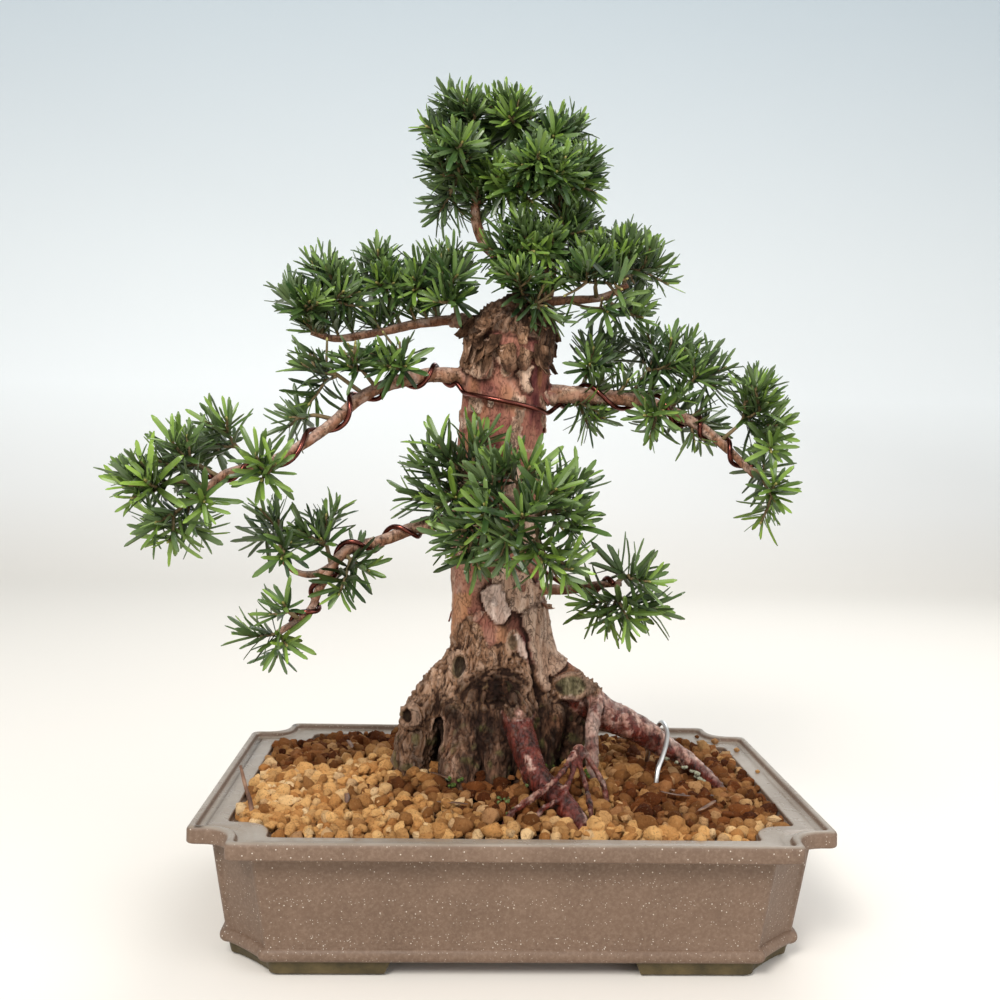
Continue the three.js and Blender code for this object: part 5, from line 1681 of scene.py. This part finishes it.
def make_spray(index, materials):
    """One spray: its stem, shoots, buds and needles as one piece in place of its solid."""
    limb, tips = SPRAYS[index]
    base, hub = stem_base(limb, tips)
    fresh = FRESH.get(index + 1, 0.0)
    leafage = Leafage(limb)
    more = len(tips) < 3 and leafage.sides > 0
    for k, tip in enumerate(np.array(tips, float)):
        bend = mix(hub, tip, 0.5) - np.array((0, 0, SAG * np.linalg.norm(tip - hub)))
        shoot = [hub, bend, tip]
        stem = [base, *shoot] if k == 0 else shoot
        sides = side_shoots(shoot, leafage.sides + more)
        thick = TWIG_RADIUS if k == 0 else SHOOT_RADIUS
        leafage.grow(shoot, stem, (thick, SHOOT_RADIUS * 0.7), fresh * rng.uniform(0.3, 1.0))
        for line in sides:
            leafage.grow(line, line, (SHOOT_RADIUS, SHOOT_RADIUS * 0.7), fresh * rng.uniform(0.3, 1.0))
    name = f"{limb}_{index + 1:02d}"
    piece = leafage.make("leafy_" + name, materials)
    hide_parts("spray_" + name)


def make_limb_shoots(materials):
    """Short leafy shoots that stand on the limbs themselves."""
    for limb, (low, high, count, rise) in LIMB_SHOOTS.items():
        leafage = Leafage(limb)
        for line in side_shoots(LIMBS[limb][0], count, low, high, rise):
            leafage.grow(line, line, (SHOOT_RADIUS, 0.8), rng.uniform(0, 0.3))
        leafage.make("shoots_" + limb, materials)


# Soil


def soil_height(x, y):
    return SOIL_EDGE + MOUND_RISE * math.exp(-away(x, y, MOUND_CENTRE, MOUND_SPREAD) / 2)


def in_opening(x, y, margin):
    """Whether a place is inside the rim's inner edge with its cut corners."""
    a = (POT_LENGTH / 2 - RIM_WIDTH - margin - abs(x)) / CORNER_NOTCH
    b = (POT_DEPTH / 2 - RIM_WIDTH - margin - abs(y)) / CORNER_NOTCH
    return a > 0 and b > 0 and a ** (2 / NOTCH_POWER) + b ** (2 / NOTCH_POWER) > 1


def lump_shapes(count):
    """A few uneven lumps: a subdivided icosahedron cut by planes all round and then roughened."""
    bpy.ops.mesh.primitive_ico_sphere_add(subdivisions=2, radius=1)
    ball = bpy.context.active_object
    base = np.array([v.co for v in ball.data.vertices])
    base /= np.linalg.norm(base, axis=1)[:, None]
    faces = np.array([tuple(p.vertices) for p in ball.data.polygons])
    bpy.data.objects.remove(ball)
    shapes = []
    for k in range(count):
        cuts = [unit(np.array(any_direction())) for _ in range(LUMP_CUTS)]
        reaches = [rng.uniform(*CUT_REACH) for _ in cuts]
        flat = np.min([reach / np.maximum(base @ cut, 0.2) for cut, reach in zip(cuts, reaches)], axis=0)
        bumps = np.array([noise.noise(Vector(p * 2.3) + Vector((k * 9, 0, 0))) for p in base])
        shapes.append(base * (np.minimum(flat, 1.15) * (1 + LUMP_ROUGHNESS * bumps))[:, None])
    return shapes, faces


def lump_piece(name, lumps, faces, material, **looks):
    """Many lumps as one piece, with looks that have a value for each lump."""
    size = len(lumps[0])
    all_faces = repeated(faces, len(lumps), size).tolist()
    piece = make_piece(name, np.concatenate(lumps), all_faces, [material])
    add_looks(piece, **{look: np.repeat(values, size) for look, values in looks.items()})
    return piece


def wetness(x, y):
    """The soil is wet and dark at the right, the back and the trunk, and dry in front and at the left."""
    blotch = noise.noise(Vector((x / 30, y / 30, 1.7)))
    right = smooth(30, 95, x) * smooth(-112, -70, y)
    back = smooth(-5, 40, y) * 0.9
    trunk = math.exp(-away(x, y, *WET_GROUND)) * 1.25
    return float(np.clip(max(right, back, trunk, 0.03) + 0.5 * blotch, 0, 1))


def inside(tree, point):
    hit, normal, _, _ = tree.find_nearest(point)
    return (point - hit).dot(normal) < 0


def granule_spots():
    """Where a granule may lie: x, y, layer and radius, in rows set like bricks."""
    columns = int(POT_LENGTH / GRANULE_PITCH)
    rows = int(POT_DEPTH / GRANULE_PITCH / GRANULE_ROW)
    spots = []
    for i in range(-columns // 2, columns // 2 + 1):
        for j in range(-rows // 2, rows // 2 + 1):
            x = (i + 0.5 * (j % 2) + jitter(GRANULE_JITTER)) * GRANULE_PITCH
            y = (j + jitter(GRANULE_JITTER)) * GRANULE_PITCH * GRANULE_ROW
            spots.append((x, y, 0, rng.uniform(*GRANULE_RADIUS)))
            if rng.random() < UPPER_SHARE:
                radius = rng.uniform(*GRANULE_RADIUS) * rng.choice((0.6, 0.85, 1.15))
                spots.append((x + jitter(3), y + jitter(3), 1, radius))
    return spots


def make_granules(material, tree):
    """The loose clay granules on the bed, as lumps in two layers that keep out of the wood."""
    shapes, faces = lump_shapes(GRANULE_SHAPES)
    lumps = {"front": [], "back": []}
    wets = {"front": [], "back": []}
    for x, y, layer, radius in granule_spots():
        if not in_opening(x, y, radius * 0.7):
            continue
        z = soil_height(x, y) + rng.uniform(-1.4, 0.6) + layer * LAYER_RISE
        center = Vector((x, y, z))
        _, _, _, gap = tree.find_nearest(center)
        if gap < radius * 0.7 or inside(tree, center):
            continue
        half = "front" if y < 0 else "back"
        axis = Vector(any_direction())
        turn = np.array(Matrix.Rotation(any_angle(), 3, axis))
        scale = np.array([rng.uniform(0.85, 1.3), rng.uniform(0.8, 1.1), rng.uniform(0.7, 1)]) * radius
        shape = (shapes[rng.randrange(len(shapes))] * scale) @ turn.T
        lumps[half].append(shape + (x, y, z))
        wets[half].append(float(np.clip(wetness(x, y) + rng.triangular(-0.5, 0.75, 0), 0, 1)))
    for x, y, radius, wet in STRAY_GRANULES:
        half = "front" if y < 0 else "back"
        lumps[half].append(shapes[0] * radius + (x, y, RIM_FLAT + radius * 0.7))
        wets[half].append(wet)
    for half in lumps:
        piece = lump_piece("granules_" + half, lumps[half], faces, material, wet=wets[half])
        piece.data.set_sharp_from_angle(angle=GRANULE_SHARP)


def make_fallen(material, tree):
    """A few dry needles that lie on the granules."""
    needles = []
    while len(needles) < FALLEN_NEEDLES:
        x, y = jitter(150), rng.uniform(-105, 100)
        spot = np.array((x, y, soil_height(x, y) + FALLEN_RISE))
        turn = any_angle()
        direction = unit(np.array((math.cos(turn), math.sin(turn), jitter(0.1))))
        if in_opening(x, y, NEEDLE_LENGTH) and not inside(tree, Vector(spot)):
            upper = unit(np.cross(direction, np.cross((0, 0, 1), direction)))
            needles.append((spot, direction, upper, 0.85, 0, 0))
    vertices, faces, _, _ = needle_mesh(needles)
    piece = make_piece("fallen_needles", vertices, faces.tolist(), [material])
    add_looks(piece, green=0.0)


def make_moss(material, tree):
    """Small cushions of moss and pale lichen between the roots, each lump half sunk in what it grows on."""
    shapes, faces = lump_shapes(MOSS_SHAPES)
    lumps, greys = [], []
    for *centre, spread, count, grey in MOSS:
        for _ in range(count):
            spot = Vector([c + rng.gauss(0, spread * share) for c, share in zip(centre, (1, 1, 0.3))])
            ground = soil_height(spot.x, spot.y)
            spot.z = max(min(spot.z, ground + MOSS_RISE), ground)
            radius = rng.uniform(*MOSS_RADIUS)
            hit, _, _, gap = tree.find_nearest(spot)
            if gap > radius and spot.z > ground + MOSS_RISE * 0.6:
                spot = hit
            lumps.append(shapes[rng.randrange(len(shapes))] * radius + tuple(spot))
            greys.append(grey)
    lump_piece("moss", lumps, faces, material, grey=greys)


def soil_bed():
    """The closed bed under the top layer of granules."""
    outer = notched_ring(RIM_WIDTH + 0.4, 0)
    rings = [
        notched_ring(BODY_FOOT_INSET + WALL + 4.4, FLOOR_TOP + 0.4),
        notched_ring(RIM_WIDTH + 4.4, RIM_BASE),
    ]
    for share in np.linspace(1, 0.04, 26):
        ring = outer * np.array((share, share, 1))
        rings.append(np.array([(x, y, soil_height(x, y) - 1.8) for x, y, _ in ring]))
    return loft(rings)


def make_bed(material):
    bed = make_piece("soil_bed", *soil_bed(), [material])
    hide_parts("soil")


# Screens


def dress_screens(material):
    for name in ("screen_left", "screen_right"):
        node = frame["nodes"][name]
        node.data.materials.clear()
        node.data.materials.append(material)


bpy.context.scene.view_settings.view_transform = "Standard"
make_camera()
make_studio()
STONEWARE = stoneware()
TWIG = twig_bark()
BARK = wood_bark("bark", 0.12)
LEAF_MATERIALS = [needle_green(), TWIG, bud_scale()]
make_pot(STONEWARE)
WOOD = make_wood(BARK, wood_bark("wet_bark", 0.28))
WOOD_TREE = BVHTree.FromPolygons(places_of(WOOD).tolist(), [tuple(p.vertices) for p in WOOD.data.polygons])
BARE_PLACES = [Curve(LIMBS[name][0]).at(t) for name in BARE_LIMBS for t in np.linspace(BARE_FROM, 1, 30)]
make_flakes(BARK, WOOD_TREE)
make_branches(BARK)
make_wires(wire_metal("brown_wire", (0.09, 0.027, 0.021), (0.18, 0.056, 0.042), 0.25))
make_tie(wire_metal("bright_wire", (0.5, 0.49, 0.47), (0.68, 0.67, 0.65), 0.4))
make_twig(TWIG)
make_granules(clay_granules(), WOOD_TREE)
make_moss(moss_green(), WOOD_TREE)
make_fallen(TWIG, WOOD_TREE)
make_bed(plain("deep_soil", (0.06, 0.025, 0.01), 0.95, 1.0))
dress_screens(plain("screen_net", (0.02, 0.02, 0.02), 0.5, 0.2))
for spray in range(len(SPRAYS)):
    make_spray(spray, LEAF_MATERIALS)
make_limb_shoots(LEAF_MATERIALS)
